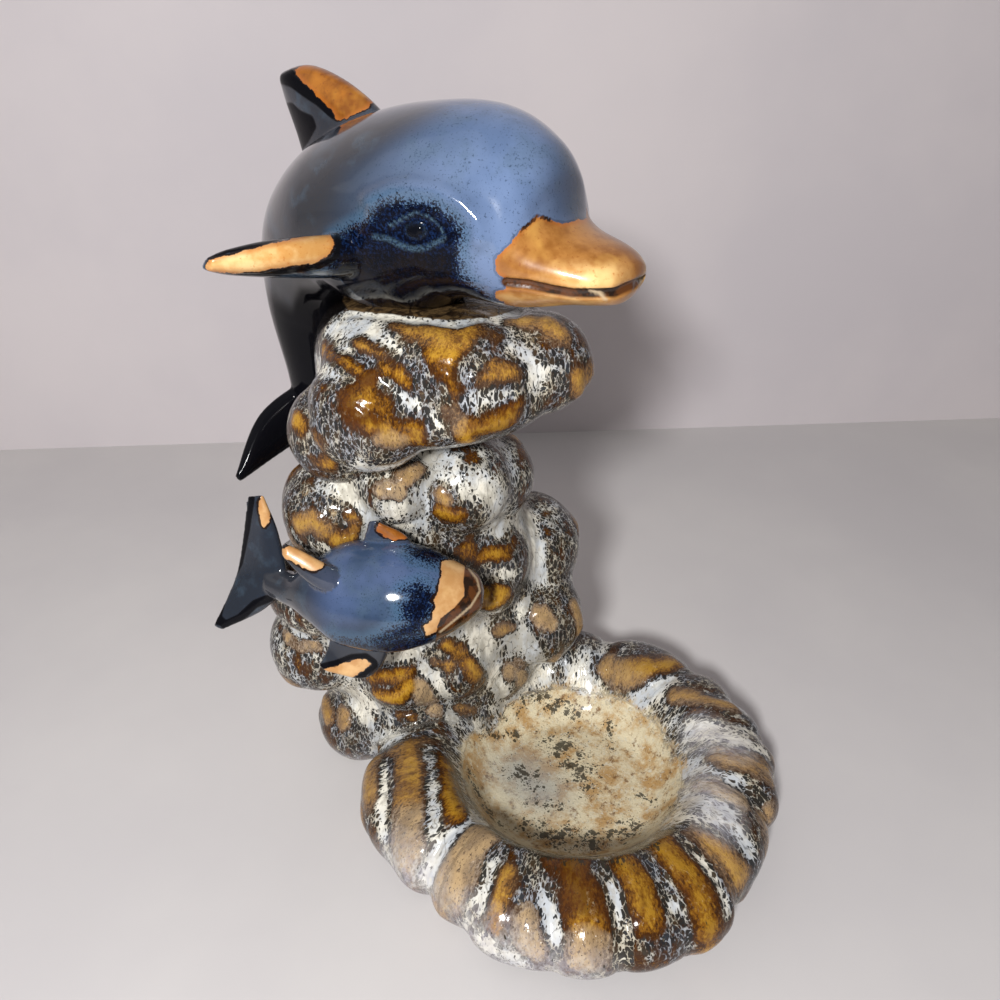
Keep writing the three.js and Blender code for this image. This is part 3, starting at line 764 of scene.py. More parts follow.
dish_ridges = {
    "left_outer": ([(370, 767), (370, 798)], 1.8, 0.4),
    "left_broad": ([(409, 746), (411, 772), (410, 798)], 2.9, 0.25),
    "left_broad_low": ([(409, 815), (407, 852)], 2.7, 1.0),
    "left_inner": ([(446, 767), (452, 793), (458, 816)], 2.0, -0.2),
    "front_left": ([(473, 841), (463, 864), (453, 890)], 3.4, 0.95),
    "front_thin": ([(504, 875), (501, 902), (495, 921)], 1.3, 0.15),
    "front_pink": ([(527, 921), (532, 947)], 1.6, 1.0),
    "front_dark": ([(569, 867), (580, 890), (586, 915)], 2.9, -0.8),
    "front_dark_low": ([(586, 927), (589, 952)], 2.3, 0.9),
    "front_amber": ([(626, 868), (639, 888), (649, 916)], 2.0, -0.3),
    "front_curved": ([(664, 850), (685, 871), (702, 898), (708, 927)], 2.5, -0.35),
    "front_red": ([(704, 838), (721, 853), (735, 875)], 2.5, 0.35),
    "right_pale": ([(702, 783), (719, 787), (737, 798)], 1.8, 1.0),
    "right_brown": ([(723, 758), (747, 762), (766, 773)], 2.2, 0.55),
    "right_small": ([(740, 721), (763, 729)], 1.3, 1.0),
    "back_thin": ([(676, 696), (695, 698), (721, 703), (732, 706)], 1.3, 0.5),
    "back_swirl": ([(606, 670), (618, 676), (637, 672)], 2.5, 0.6),
    "back_broad": ([(637, 670), (657, 665), (675, 664)], 2.4, 0.1),
    "foot_streak": ([(578, 613), (581, 627)], 1.1, 0.6),
}

boulder_lace = {
    "heart_side": ([(352, 385), (350, 405), (366, 424), (392, 440), (430, 446)], 4),
    "left_side": ([(305, 392), (326, 418), (346, 446)], 3),
    "left_foot": ([(300, 445), (312, 462), (340, 476)], 3),
    "middle": ([(414, 352), (424, 366), (436, 392)], 2.5),
    "right_side": ([(545, 345), (562, 360), (570, 385)], 3),
    "under_hook": ([(476, 440), (505, 428), (532, 405)], 2.5),
    "seam": ([(470, 360), (497, 360), (520, 372)], 2),
}

dish_lace = {
    "front_top": ([(515, 862), (545, 872), (600, 872), (650, 858)], 3.2),
    "front_low": ([(606, 925), (640, 945), (675, 935)], 3.2),
    "front_left_low": ([(512, 905), (520, 925), (540, 950)], 1.6),
    "crest": ([(492, 838), (520, 851), (545, 860), (590, 862), (640, 852), (672, 836)], 3.5),
    "basin_side": ([(541, 831), (600, 847), (660, 836)], 2.5),
    "second_cells": ([(516, 862), (518, 886), (516, 909), (513, 933)], 2),
    "fourth_net": ([(604, 920), (628, 948), (640, 965)], 3.5),
    "fifth_cells": ([(650, 863), (658, 875), (669, 888)], 1.8),
    "fifth_net": ([(656, 930), (679, 944), (695, 948)], 3),
    "right_cells": ([(726, 840), (735, 870), (746, 890)], 2),
    "right_side": ([(740, 800), (765, 795), (775, 770)], 2),
    "left_side": ([(395, 752), (396, 790), (396, 840)], 1.4),
    "back": ([(650, 650), (690, 676), (740, 700)], 2),
    "back_inner": ([(609, 633), (640, 640), (661, 650)], 2),
}

# Milky veils over the lace
dish_veil = {
    "right_outer": ([(775, 745), (778, 790), (768, 840)], 6),
    "right_upper": ([(700, 735), (730, 742)], 4),
    "right_lower": ([(690, 785), (720, 815)], 4),
    "back": ([(690, 660), (720, 690), (750, 715)], 4),
    "left_foot": ([(395, 870), (425, 880)], 5),
    "front_foot": ([(470, 935), (520, 970), (580, 980)], 5),
    "front_right_foot": ([(730, 930), (755, 900)], 4),
}

column_lace = {
    "knob": ([(458, 536), (480, 545), (505, 550)], 5),
    "knob_foot": ([(480, 585), (500, 590), (515, 600)], 4),
    "calf_foot": ([(376, 664), (400, 684), (420, 712)], 4),
    "low_curl": ([(440, 655), (465, 680), (474, 700)], 3),
    "upper": ([(440, 495), (452, 510), (470, 520)], 3.5),
    "left": ([(300, 500), (318, 505), (335, 510)], 3),
    "right": ([(540, 605), (556, 628), (562, 645)], 3),
    "far_right": ([(560, 560), (575, 585), (582, 610)], 3),
    "undercut": ([(330, 690), (336, 715), (345, 740)], 4),
}

dish_pools = {
    "left_groove": ([(387, 763), (385, 798), (383, 833)], 1.0),
    "inner_groove": ([(427, 748), (432, 779), (433, 815), (434, 841)], 1.1),
    "first_notch": ([(478, 817), (456, 831), (440, 852), (428, 871)], 1.5),
    "second_notch": ([(498, 852), (492, 876), (480, 904), (466, 936)], 0.9),
    "third_notch": ([(525, 852), (541, 890), (551, 933), (554, 975)], 0.9),
    "lobe_foot": ([(482, 945), (515, 963)], 1.8),
    "fourth_notch": ([(599, 869), (612, 890), (620, 923), (622, 961)], 0.8),
    "fifth_notch": ([(645, 856), (662, 881), (677, 919), (685, 948)], 0.8),
    "sixth_notch": ([(681, 839), (702, 860), (717, 883), (729, 911)], 0.8),
    "seventh_notch": ([(666, 821), (698, 821), (729, 831), (750, 850)], 1.4),
    "droplet_band": ([(683, 800), (708, 805), (731, 811)], 1.2),
    "pale_band": ([(679, 769), (708, 772), (742, 781), (760, 798)], 1.3),
    "ninth_band": ([(695, 727), (721, 735), (747, 743), (766, 753)], 1.9),
    "back_notch": ([(630, 712), (644, 698), (657, 688), (675, 679)], 1.6),
    "foot_fall": ([(597, 632), (588, 653), (576, 679)], 1.7),
    "foot_pool": ([(576, 679), (590, 693)], 2.4),
}

column_ridges = {
    "swirl_left": ([(300, 524), (315, 521), (323, 532)], 1.1, 0.3),
    "swirl_hook": ([(351, 515), (361, 521), (354, 535), (337, 540)], 0.9, 0.1),
    "top_faint": ([(407, 478), (422, 471)], 0.9, 0.7),
    "top_grey": ([(384, 490), (396, 493)], 1.0, 1.0),
    "top_small": ([(440, 510), (455, 515), (463, 512)], 1.1, -0.2),
    "top_lace": ([(437, 491), (447, 499)], 0.9, 0.5),
    "beak_above": ([(463, 544), (478, 558), (498, 553)], 1.8, -0.2),
    "beak_beside": ([(485, 593), (503, 593), (493, 604)], 1.3, 0.05),
    "right_gold": ([(499, 630), (512, 628)], 1.0, 0.5),
    "far_right": ([(575, 605), (580, 628)], 0.9, 0.7),
    "right_red": ([(539, 613), (549, 623)], 1.2, 0.8),
    "right_round": ([(511, 667), (529, 674)], 2.0, 0.95),
    "right_thin": ([(555, 659), (559, 674)], 1.0, 0.8),
    "low_peak": ([(447, 644), (460, 653)], 1.1, 0.1),
    "low_left": ([(437, 662), (449, 664)], 0.9, 0.2),
    "low_curl": ([(468, 664), (476, 675)], 1.0, 0.1),
    "lower_upper": ([(373, 677), (394, 674), (412, 669)], 1.2, -0.2),
    "lower_middle": ([(379, 695), (396, 698), (409, 687)], 1.2, 0),
    "lower_dot": ([(401, 713), (412, 715)], 0.9, 0.1),
    "lower_peach": ([(421, 686), (435, 707)], 1.6, 1.0),
    "near_basin": ([(457, 705), (470, 710)], 1.1, 0.3),
    "undercut_brown": ([(325, 697), (328, 716)], 1.0, 0.4),
    "undercut_tan": ([(344, 712), (345, 723)], 0.9, 0.6),
    "behind_calf": ([(269, 613), (279, 628)], 1.2, 0.4),
    "behind_calf_tan": ([(292, 633), (312, 641)], 1.4, 0.9),
}

column_pools = {
    "top_white": ([(396, 511), (417, 507), (427, 486)], 2.0),
    # Painted highlight: white laid where a glare shines on the column's top.
    "top_glare": ([(440, 465), (457, 483), (473, 506)], 2.0),
    "top_right": ([(478, 486), (496, 509), (496, 532)], 2.2),
    "swirl_line": ([(320, 490), (351, 496), (370, 514), (365, 537)], 0.9),
    "beak_lace": ([(488, 570), (516, 575)], 1.5),
    "middle_white": ([(478, 616), (498, 613), (521, 605)], 1.5),
    "right_fall": ([(519, 636), (536, 659), (539, 679)], 1.8),
    "left_fall": ([(473, 626), (487, 644), (491, 669), (503, 695)], 0.9),
    "calf_shadow_line": ([(391, 659), (417, 651), (447, 628), (470, 616)], 1.0),
    "low_white": ([(422, 669), (432, 677), (447, 695), (452, 717)], 1.0),
    "basin_edge": ([(564, 674), (590, 684)], 1.8),
    "right_lobe": ([(521, 524), (539, 555), (544, 572)], 1.6),
    "left_low_line": ([(353, 692), (361, 710), (368, 723)], 0.9),
}


def distance_to_line(points, line):
    """Distance of points to a line through spots."""
    best = np.full(len(points), np.inf)
    for a, b in zip(line[:-1], line[1:]):
        step = b - a
        t = np.clip((points - a) @ step / max(step @ step, 1e-9), 0, 1)
        best = np.minimum(best, np.linalg.norm(points - (a + t[:, None] * step), axis=1))
    return best


def inside(pixels, outline):
    """Distance of pixels inside an outline, negative outside it."""
    outline = np.array(outline, float)
    ends = np.roll(outline, -1, axis=0)
    x, y = pixels.T
    odd = np.zeros(len(pixels), bool)
    for (x0, y0), (x1, y1) in zip(outline, ends):
        crosses = (y0 > y) != (y1 > y)
        odd ^= crosses & (x < x0 + (y - y0) * (x1 - x0) / ((y1 - y0) or 1))
    distance = distance_to_line(pixels, np.vstack([outline, outline[:1]]))
    return np.where(odd, distance, -distance)


def surface_of(item):
    return BVHTree.FromObject(item, bpy.context.evaluated_depsgraph_get())


def spots_on(tree, pixels):
    """Places on a surface that the photograph shows at some pixels."""
    spots = [seen_on(tree, pixel) for pixel in pixels]
    return np.array([spot for spot in spots if spot is not None])


def drawn_lines(item, *tables):
    """Lines on a surface under the pixels of strokes, each with its half width and tan share."""
    tree = surface_of(item)
    lines = []
    for pixels, half, *tan in [stroke for table in tables for stroke in table.values()]:
        spots = spots_on(tree, pixels)
        if len(spots) > 1:
            lines.append((spots, half, tan[0] if tan else 0))
    return lines


# Hidden strokes: how strongly they turn down, then how far they bend and reach in millimetres, and their
# tan share, each picked between two values
hidden_pull = (0, 0, 1.2)
hidden_bend = (-2, 2)
hidden_reach = (1.5, 5)
hidden_tan = (0, 0.7)


def hidden_lines(points, normals, keep, halves, wanted, apart):
    """Lines of the same kind, so many and so far apart, on the sides that the photograph doesn't show."""
    away = ((camera_place - points) * normals).sum(axis=1) < 0
    free = np.flatnonzero(away & keep)
    lines = []
    spots = np.empty((0, 3))
    for pick in random.permutation(free):
        if len(lines) == wanted:
            break
        spot = points[pick]
        if len(spots) and np.linalg.norm(spots - spot, axis=1).min() < apart:
            continue
        spots = np.vstack([spots, spot])
        along = unit(np.cross(normals[pick], random.normal(size=3) + hidden_pull))
        bend = unit(np.cross(normals[pick], along)) * random.uniform(*hidden_bend)
        reach = random.uniform(*hidden_reach)
        line = np.array([spot - reach * along, spot + bend, spot + reach * along])
        lines.append((line, random.uniform(*halves), random.uniform(*hidden_tan)))
    return lines


# A line's strength falls to 0 at some times its half width and a margin in millimetres. The powers say
# how full it stays towards its edge, and how much the nearest line counts for the tan share.
line_spread = 1.9
line_margin = 1
line_fullness = 0.8
nearest_power = 5


def line_fields(points, lines):
    """Strength of lines at points, 0 to 1, and their tan share, which fades from line to line."""
    strength = np.zeros(len(points))
    tan = np.zeros(len(points))
    weights = np.full(len(points), 1e-9)
    for line, half, share in lines:
        reach = line_spread * half + line_margin
        swell = np.clip(1 - distance_to_line(points, line) / reach, 0, 1) ** line_fullness
        tan += share * swell ** nearest_power
        weights += swell ** nearest_power
        strength = np.maximum(strength, swell)
    return strength, tan / weights


# Marks on the basin's glaze: pixels that they run through and their reach in millimetres
basin_pepper = {
    "middle": ([(560, 745), (575, 760), (583, 780)], 7),
    "left": ([(512, 770), (532, 780)], 5),
    "front": ([(531, 826), (560, 838), (600, 842), (634, 828)], 5),
    "upper": ([(545, 700), (575, 712)], 4),
    "upper_right": ([(608, 726), (612, 747)], 2.5),
    "upper_left": ([(481, 732), (516, 736)], 2.5),
    "right": ([(643, 797), (684, 801)], 2.5),
    "low_left": ([(530, 802), (560, 806)], 2.5),
    "front_edge": ([(520, 845), (560, 858), (604, 862), (648, 846)], 4),
    "left_edge": ([(470, 770), (480, 800), (500, 825)], 3),
    "top_edge": ([(500, 715), (530, 700), (548, 690)], 3),
}
basin_haze = {
    "grey_pool": ([(518, 772), (540, 790)], 9),
}


def basin_fields(item, points):
    """Strength of the pepper and of the grey pool in the basin, 0 to 1."""
    tree = surface_of(item)
    fields = []
    for marks in (basin_pepper, basin_haze):
        field = np.zeros(len(points))
        for pixels, reach in marks.values():
            spots = spots_on(tree, pixels)
            if len(spots) > 1:
                away = distance_to_line(points, spots)
                field = np.maximum(field, 1 - smooth_step(-0.2 * reach, 1.6 * reach, away))
        fields.append(field)
    return fields


# Nodes

class Paint:
    """Short names for the nodes that a glaze is made of."""

    def __init__(self, name):
        self.material = bpy.data.materials.new(name)
        self.material.use_nodes = True
        self.tree = self.material.node_tree
        self.shader = self.tree.nodes["Principled BSDF"]

    def node(self, kind, **settings):
        made = self.tree.nodes.new(kind)
        for key, value in settings.items():
            setattr(made, key, value)
        return made

    def link(self, value, socket):
        if isinstance(value, bpy.types.NodeSocket):
            self.tree.links.new(value, socket)
        else:
            socket.default_value = value

    def shade(self, value, name):
        """Gives a value to a socket of the material's shader."""
        self.link(value, self.shader.inputs[name])

    def pattern(self, kind, vector, **numbers):
        """Texture node over some coordinates."""
        made = self.node(kind)
        self.link(vector, made.inputs["Vector"])
        for name, number in numbers.items():
            made.inputs[name].default_value = number
        return made

    def field(self, name):
        """Number stored with each point."""
        return self.node("ShaderNodeAttribute", attribute_name=name).outputs["Fac"]

    def flow(self, name):
        """Three numbers stored with each point: coordinates, or a colour."""
        return self.node("ShaderNodeAttribute", attribute_name=name).outputs["Vector"]

    def place(self):
        return self.node("ShaderNodeTexCoord").outputs["Object"]

    def place_mm(self):
        return self.vector("SCALE", self.place(), 1 / MM)

    def maths(self, operation, a, b=0.0, clamp=False):
        made = self.node("ShaderNodeMath", operation=operation, use_clamp=clamp)
        self.link(a, made.inputs[0])
        self.link(b, made.inputs[1])
        return made.outputs[0]

    def plus(self, a, b):
        return self.maths("ADD", a, b)

    def minus(self, a, b):
        return self.maths("SUBTRACT", a, b)

    def times(self, a, b, clamp=False):
        return self.maths("MULTIPLY", a, b, clamp)

    def most(self, a, b):
        return self.maths("MAXIMUM", a, b)

    def least(self, a, b):
        return self.maths("MINIMUM", a, b)

    def from_middle(self, value):
        """Distance of a value from 0.5."""
        return self.maths("ABSOLUTE", self.minus(value, 0.5))

    def swing(self, value, reach):
        """A value of 0 to 1 made to swing about 0."""
        return self.times(self.minus(value, 0.5), reach)

    def vector(self, operation, a, b):
        made = self.node("ShaderNodeVectorMath", operation=operation)
        self.link(a, made.inputs[0])
        self.link(b, made.inputs[3] if operation == "SCALE" else made.inputs[1])
        return made.outputs[0]

    def steps(self, value, low, high, start=0.0, end=1.0):
        """Smooth step from the start, at the low value, to the end, at the high one."""
        made = self.node("ShaderNodeMapRange", interpolation_type="SMOOTHSTEP")
        for socket, number in zip(made.inputs[:5], (value, low, high, start, end)):
            self.link(number, socket)
        return made.outputs[0]

    def noise(self, vector, scale, detail=3.0, roughness=0.55):
        made = self.pattern("ShaderNodeTexNoise", vector, Scale=scale, Detail=detail, Roughness=roughness)
        return made.outputs["Fac"]

    def cloud(self, vector, noise, *span):
        """Noise given by its scale, detail and roughness, and stepped over a span."""
        return self.steps(self.noise(vector, *noise), *span)

    def warped(self, vector, scale, reach):
        """Coordinates pushed about by a noise."""
        made = self.pattern("ShaderNodeTexNoise", vector, Scale=scale, Detail=2.0)
        push = self.vector("SUBTRACT", made.outputs["Color"], (0.5, 0.5, 0.5))
        return self.vector("ADD", vector, self.vector("SCALE", push, reach))

    def lace(self, vector, scale, gap, crowd):
        """Rounded cells apart by a gap, some of them left out, and the random value of each."""
        cell_reach = 0.62
        gap_share = 0.9
        edge_softness = (-0.035, 0.05)
        edge = self.pattern("ShaderNodeTexVoronoi", vector, Scale=scale)
        edge.feature = "DISTANCE_TO_EDGE"
        cell = self.pattern("ShaderNodeTexVoronoi", vector, Scale=scale)
        pick = self.node("ShaderNodeSeparateColor")
        self.link(cell.outputs["Color"], pick.inputs[0])
        reach = self.minus(cell_reach, self.times(gap, gap_share))
        round_room = self.minus(reach, cell.outputs["Distance"])
        room = self.least(self.minus(edge.outputs["Distance"], gap), round_room)
        shown = self.maths("LESS_THAN", pick.outputs[0], crowd)
        return self.times(self.steps(room, *edge_softness), shown), pick.outputs[1]

    def droplets(self, vector, scale, near, size, crowd):
        """Round drops whose size and number grow with nearness, 0 to 1."""
        made = self.pattern("ShaderNodeTexVoronoi", vector, Scale=scale)
        radius = self.steps(near, 0.0, 1.0, *size)
        drop = self.steps(self.minus(made.outputs["Distance"], radius), -0.06, 0.05, 1.0, 0.0)
        pick = self.node("ShaderNodeSeparateColor")
        self.link(made.outputs["Color"], pick.inputs[0])
        shown = self.maths("LESS_THAN", pick.outputs[0], self.steps(near, 0.0, 1.0, *crowd))
        return self.times(drop, shown)

    def mix(self, share, a, b):
        made = self.node("ShaderNodeMix", data_type="RGBA")
        self.link(share, made.inputs["Factor"])
        self.link(a, made.inputs["A"])
        self.link(b, made.inputs["B"])
        return made.outputs["Result"]

    def over(self, colour, coats):
        """Colour with coats laid over it in turn, each a share and a colour."""
        for share, coat in coats:
            colour = self.mix(share, colour, coat)
        return colour

    def bump(self, height, depth_mm, strength=1.0):
        made = self.node("ShaderNodeBump")
        made.inputs["Strength"].default_value = strength
        made.inputs["Distance"].default_value = depth_mm * MM
        self.link(height, made.inputs["Height"])
        self.shade(made.outputs["Normal"], "Normal")

    def gloss(self, roughness, coat=0.5, mirror=0.3):
        self.shade(mirror, "Specular IOR Level")
        self.shade(coat, "Coat Weight")
        self.shade(0.08, "Coat Roughness")
        self.shade(roughness, "Roughness")


def tone(red, green, blue):
    """Colour given as it looks, 0 to 255."""
    def linear(value):
        value /= 255
        return value / 12.92 if value <= 0.04045 else ((value + 0.055) / 1.055) ** 2.4
    return (linear(red), linear(green), linear(blue), 1)


def tones(**colours):
    """Named colours, each given as it looks."""
    return SimpleNamespace(**{name: tone(*colour) for name, colour in colours.items()})


# Glaze of the rock

# A noise is given by its scale, detail and roughness, and a step by the values between which it runs and
# the shares at its two ends. The level is above 0 on ridges and below 0 in pools.
ridge_weight = 1.25
bulge_weight = 0.4
wave_weight = 1.9
lace_level = 0.16

rock_tones = tones(
    cream_white=(224, 219, 205), blue_white=(184, 188, 192), warm_smoke=(172, 164, 146),
    cool_smoke=(142, 146, 153), stone=(166, 160, 148), dusk=(136, 130, 116), brown_edge=(112, 88, 60),
    ink=(10, 8, 7), brown_ink=(46, 32, 14), blue_ink=(28, 32, 38), ridge_ink=(58, 32, 12),
    dark_amber=(54, 31, 9), amber=(126, 83, 21), gold=(168, 125, 38), chestnut=(84, 46, 12),
    deep_brown=(70, 36, 12), tan=(170, 144, 108), dark_tan=(134, 114, 90), tan_speck=(82, 68, 58),
    tan_edge=(150, 142, 136), amber_rim=(58, 31, 10), tan_rim=(110, 92, 74),
    veil_white=(212, 208, 204), veil_mauve=(178, 174, 180), basin=(206, 194, 164), stain=(172, 138, 90),
    dark_stain=(108, 74, 39), basin_pale=(196, 190, 172), grey_pool=(150, 152, 150), pepper=(44, 40, 29),
    worn=(96, 76, 50), dark_worn=(46, 34, 23), worn_line=(30, 22, 16), soot=(16, 13, 12))


def glaze_level(p, wave):
    """Level of the glaze, lifted to the lace's own level along the strokes of dense lace."""
    level = p.minus(p.times(p.field("ridge"), ridge_weight), p.field("pool"))
    level = p.plus(level, p.times(p.field("bulge"), bulge_weight))
    level = p.plus(level, p.minus(wave, 0.02))
    level = p.minus(level, p.times(p.field("milk"), p.steps(level, 0.1, 0.5, 0.3, 0.0)))
    lift = p.times(p.field("dense"), p.steps(level, 0.15, 0.4, 1.1, 0.0))
    return p.least(p.plus(level, lift), p.most(level, lace_level))


def pooled_white(p, flow, level):
    """Cream white in the deep pools, bluish grey and smoky where it thins, and on the column's face a smoky
    tint with painted shade.
    """
    t = rock_tones
    white = p.mix(p.cloud(flow, (0.13, 3), 0.4, 0.62), t.cream_white, t.blue_white)
    smoke = p.mix(p.cloud(flow, (0.22, 3), 0.4, 0.6), t.warm_smoke, t.cool_smoke)
    # Painted shade: the column's white darkened with a smoky tint, where the milk field marks its face.
    dusk = p.times(p.field("milk"), p.cloud(flow, (0.25, 4, 0.6), 0.4, 0.62, 0.1, 0.8))
    return p.over(white, [
        (p.cloud(flow, (0.9, 4, 0.6), 0.46, 0.7, 0.0, 0.75), t.stone),
        (p.steps(level, -0.5, 0.25), smoke),
        (dusk, t.dusk),
        (p.steps(level, 0.15, 0.55), t.brown_edge),
    ])


def dark_lace(p, flow, loose, level):
    """Cells that nearly touch near the ridges and shrink to drops in the pools.

    Gives their strength, the random values of the large cells and those of the small ones.
    """
    gap = p.plus(p.steps(level, -0.85, 0.1, 0.28, 0.025), p.cloud(flow, (0.4, 3), 0.4, 0.7, 0.0, 0.07))
    large, large_pick = p.lace(loose, 1.05, gap, p.steps(level, -0.95, -0.35, 0.22, 0.98))
    small_gap = p.steps(level, -0.9, 0.3, 0.3, 0.06)
    small, small_pick = p.lace(loose, 2.3, small_gap, p.steps(level, -0.8, 0.1, 0.08, 0.9))
    swirl = p.from_middle(p.noise(flow, 0.22, 2, 0.45))
    thread = p.times(p.steps(swirl, 0.004, 0.012, 1.0, 0.0), p.steps(level, -0.2, 0.1, 1.0, 0.0))
    return p.most(p.most(large, small), p.times(thread, 0.45)), large_pick, small_pick


def lace_ink(p, level, pick):
    """Black, brown or blue black from cell to cell, and brown near the ridges."""
    t = rock_tones
    return p.over(p.mix(p.steps(pick, 0.7, 0.85), t.ink, t.brown_ink), [
        (p.steps(pick, 0.12, 0.06), t.blue_ink),
        (p.steps(level, 0.15, 0.5), t.ridge_ink),
    ])


def crests(p, flow, level, dark, pick, ground):
    """Ridges: stippled brown edge, golden brown towards the middle, or tan with a fine speckle."""
    t = rock_tones
    fine = p.swing(p.noise(flow, 2.4, 4, 0.75), 1.9)
    inner = p.plus(p.plus(p.plus(level, fine), p.swing(dark, -0.12)), p.swing(pick, 0.2))
    amber = p.over(p.mix(p.steps(inner, 0.5, 1.0), t.dark_amber, t.amber), [
        (p.steps(inner, 0.95, 1.45), t.gold),
        (p.cloud(flow, (0.45, 3), 0.52, 0.75), t.chestnut),
        (p.times(p.field("tan"), -1.0, True), t.deep_brown),
    ])
    pale = p.over(p.mix(p.cloud(flow, (0.4, 3), 0.35, 0.7), t.tan, t.dark_tan), [
        (p.cloud(flow, (2.6, 3, 0.7), 0.54, 0.66), t.tan_speck),
        (p.steps(level, 0.9, 0.5, 0.0, 0.6), t.tan_edge),
    ])
    tan = p.times(p.field("tan"), 1.0, True)
    return p.over(ground, [
        (p.steps(inner, 0.12, 0.5, 0.0, 0.85), p.mix(tan, t.amber_rim, t.tan_rim)),
        (p.steps(inner, 0.38, 0.9), p.mix(tan, amber, pale)),
    ])


def basin_cream(p, flow, loose):
    """Cream of the basin, stained brown, with a grey pool."""
    t = rock_tones
    return p.over(p.mix(p.cloud(flow, (0.14, 5, 0.7), 0.42, 0.62), t.basin, t.stain), [
        (p.cloud(flow, (0.34, 5, 0.8), 0.53, 0.66, 0.0, 0.9), t.dark_stain),
        (p.cloud(loose, (0.6, 5, 0.8), 0.54, 0.66), t.basin_pale),
        (p.times(p.field("haze"), 0.8), t.grey_pool),
    ])


def basin_grains(p, flow, loose):
    """Pepper on the basin: drops of three sizes."""
    pepper = p.times(p.field("pepper"), p.cloud(flow, (0.3, 4, 0.65), 0.35, 0.65, 0.35, 1.2))
    around = p.plus(pepper, p.cloud(flow, (0.2, 3), 0.56, 0.8, 0.0, 0.4))
    grains = p.droplets(loose, 0.55, pepper, (0.14, 0.56), (0.0, 0.75))
    grains = p.most(grains, p.droplets(loose, 1.1, around, (0.16, 0.54), (0.08, 0.8)))
    return p.most(grains, p.droplets(loose, 2.4, around, (0.2, 0.5), (0.16, 0.7)))


def worn_ledge(p, flow):
    """Brown of the ledge under the dolphin, with dark lines."""
    t = rock_tones
    ring = p.from_middle(p.noise(flow, 0.12, 2, 0.4))
    worn = p.mix(p.cloud(flow, (0.35, 4), 0.4, 0.62), t.worn, t.dark_worn)
    return p.mix(p.steps(ring, 0.006, 0.016, 0.8, 0.0), worn, t.worn_line)


def rock_glaze():
    """White glaze pooled in the hollows, amber or tan on the ridges, a lace of dark cells between."""
    p = Paint("rock_glaze")
    t = rock_tones
    flow = p.flow("flow")
    loose = p.warped(flow, 0.6, 1.6)
    wave = p.swing(p.noise(flow, 0.3, 3, 0.6), wave_weight)
    level = glaze_level(p, wave)
    dark, large_pick, small_pick = dark_lace(p, flow, loose, level)
    ground = p.mix(p.times(dark, 0.95), pooled_white(p, flow, level), lace_ink(p, level, large_pick))
    veil = p.times(p.field("veil"), p.cloud(flow, (1.5, 4, 0.7), 0.36, 0.6, 0.45, 1.0))
    milk = p.mix(p.cloud(flow, (0.5, 3), 0.42, 0.6), t.veil_white, t.veil_mauve)
    basin = p.field("basin")
    ragged = p.plus(basin, p.swing(p.noise(p.place_mm(), 0.2, 5, 0.8), 2.2))
    ledge = p.plus(p.field("seam"), p.times(wave, 0.2))
    colour = p.over(crests(p, flow, level, dark, small_pick, ground), [
        (veil, milk),
        (p.steps(ragged, 0.2, 0.75), basin_cream(p, flow, loose)),
        (p.times(basin_grains(p, flow, loose), 0.88), t.pepper),
        (p.steps(ledge, 0.35, 0.6), worn_ledge(p, flow)),
        # Near-black beside the dolphin's tail stock.
        (p.steps(p.field("soot"), 0.2, 0.7), t.soot),
    ])
    p.shade(colour, "Base Color")
    p.gloss(p.plus(0.13, p.times(basin, 0.3)), 0.25, 0.1)
    p.bump(p.plus(p.noise(flow, 0.7, 3), p.times(dark, -0.25)), 0.3, 0.6)
    return p.material


# Glaze of the dolphins

blue_tones = tones(
    slate=(50, 50, 54), teal=(72, 90, 106), speck=(30, 46, 64), patch_edge=(62, 92, 118),
    # patch_black and patch_umber paint the brown sheen and shade low on the head.
    dark_navy=(6, 8, 19), navy=(17, 34, 66), patch_black=(8, 8, 12), patch_umber=(22, 16, 12),
    lid=(84, 110, 128), pupil=(9, 11, 17), rim=(26, 15, 11), black=(11, 11, 15),
    pale_clay=(228, 192, 132), pale_mottle=(202, 148, 82), warm_clay=(160, 98, 26),
    warm_mottle=(122, 68, 11), pale_cream=(242, 210, 146), warm_cream=(186, 128, 44),
    pale_speck=(184, 112, 44), warm_speck=(112, 56, 16), clay_edge=(170, 96, 38),
    dull_clay=(206, 166, 116), dull_mottle=(180, 134, 84), umber=(84, 46, 16), dark_umber=(34, 19, 8),
    glint=(186, 164, 132))


def speckled_blue(p, place, patch, dots):
    """Blue or grey glaze with teal clouds, and a speckle that thickens round the dark patch."""
    t = blue_tones
    blue = p.mix(p.cloud(place, (0.07, 3), 0.35, 0.65), p.flow("hue"), p.flow("hue_two"))
    teal = p.cloud(place, (0.12, 4, 0.6), 0.5, 0.68)
    near = p.plus(p.steps(patch, -5.0, 0.0), p.times(teal, 0.4))
    cut = p.minus(0.61, p.times(near, 0.1))
    return p.over(blue, [
        (p.field("grey"), t.slate),
        (p.times(teal, 0.35), t.teal),
        (p.times(p.steps(p.minus(dots, cut), 0.0, 0.04), 0.7), t.speck),
        (p.steps(patch, -3.5, -0.5, 0.0, 0.55), t.patch_edge),
    ])


def dark_patch(p, place, patch):
    """Navy round the eye, and umber black low on the head, which is a painted brown sheen and shade."""
    t = blue_tones
    navy = p.mix(p.cloud(place, (1.8, 4, 0.75), 0.48, 0.62), t.dark_navy, t.navy)
    umber = p.mix(p.cloud(place, (0.35, 4, 0.7), 0.44, 0.6), t.patch_black, t.patch_umber)
    return p.mix(p.times(p.steps(patch, 2.0, 4.0, 0.0, 0.75), p.field("sheen_and_shade")), navy, umber)


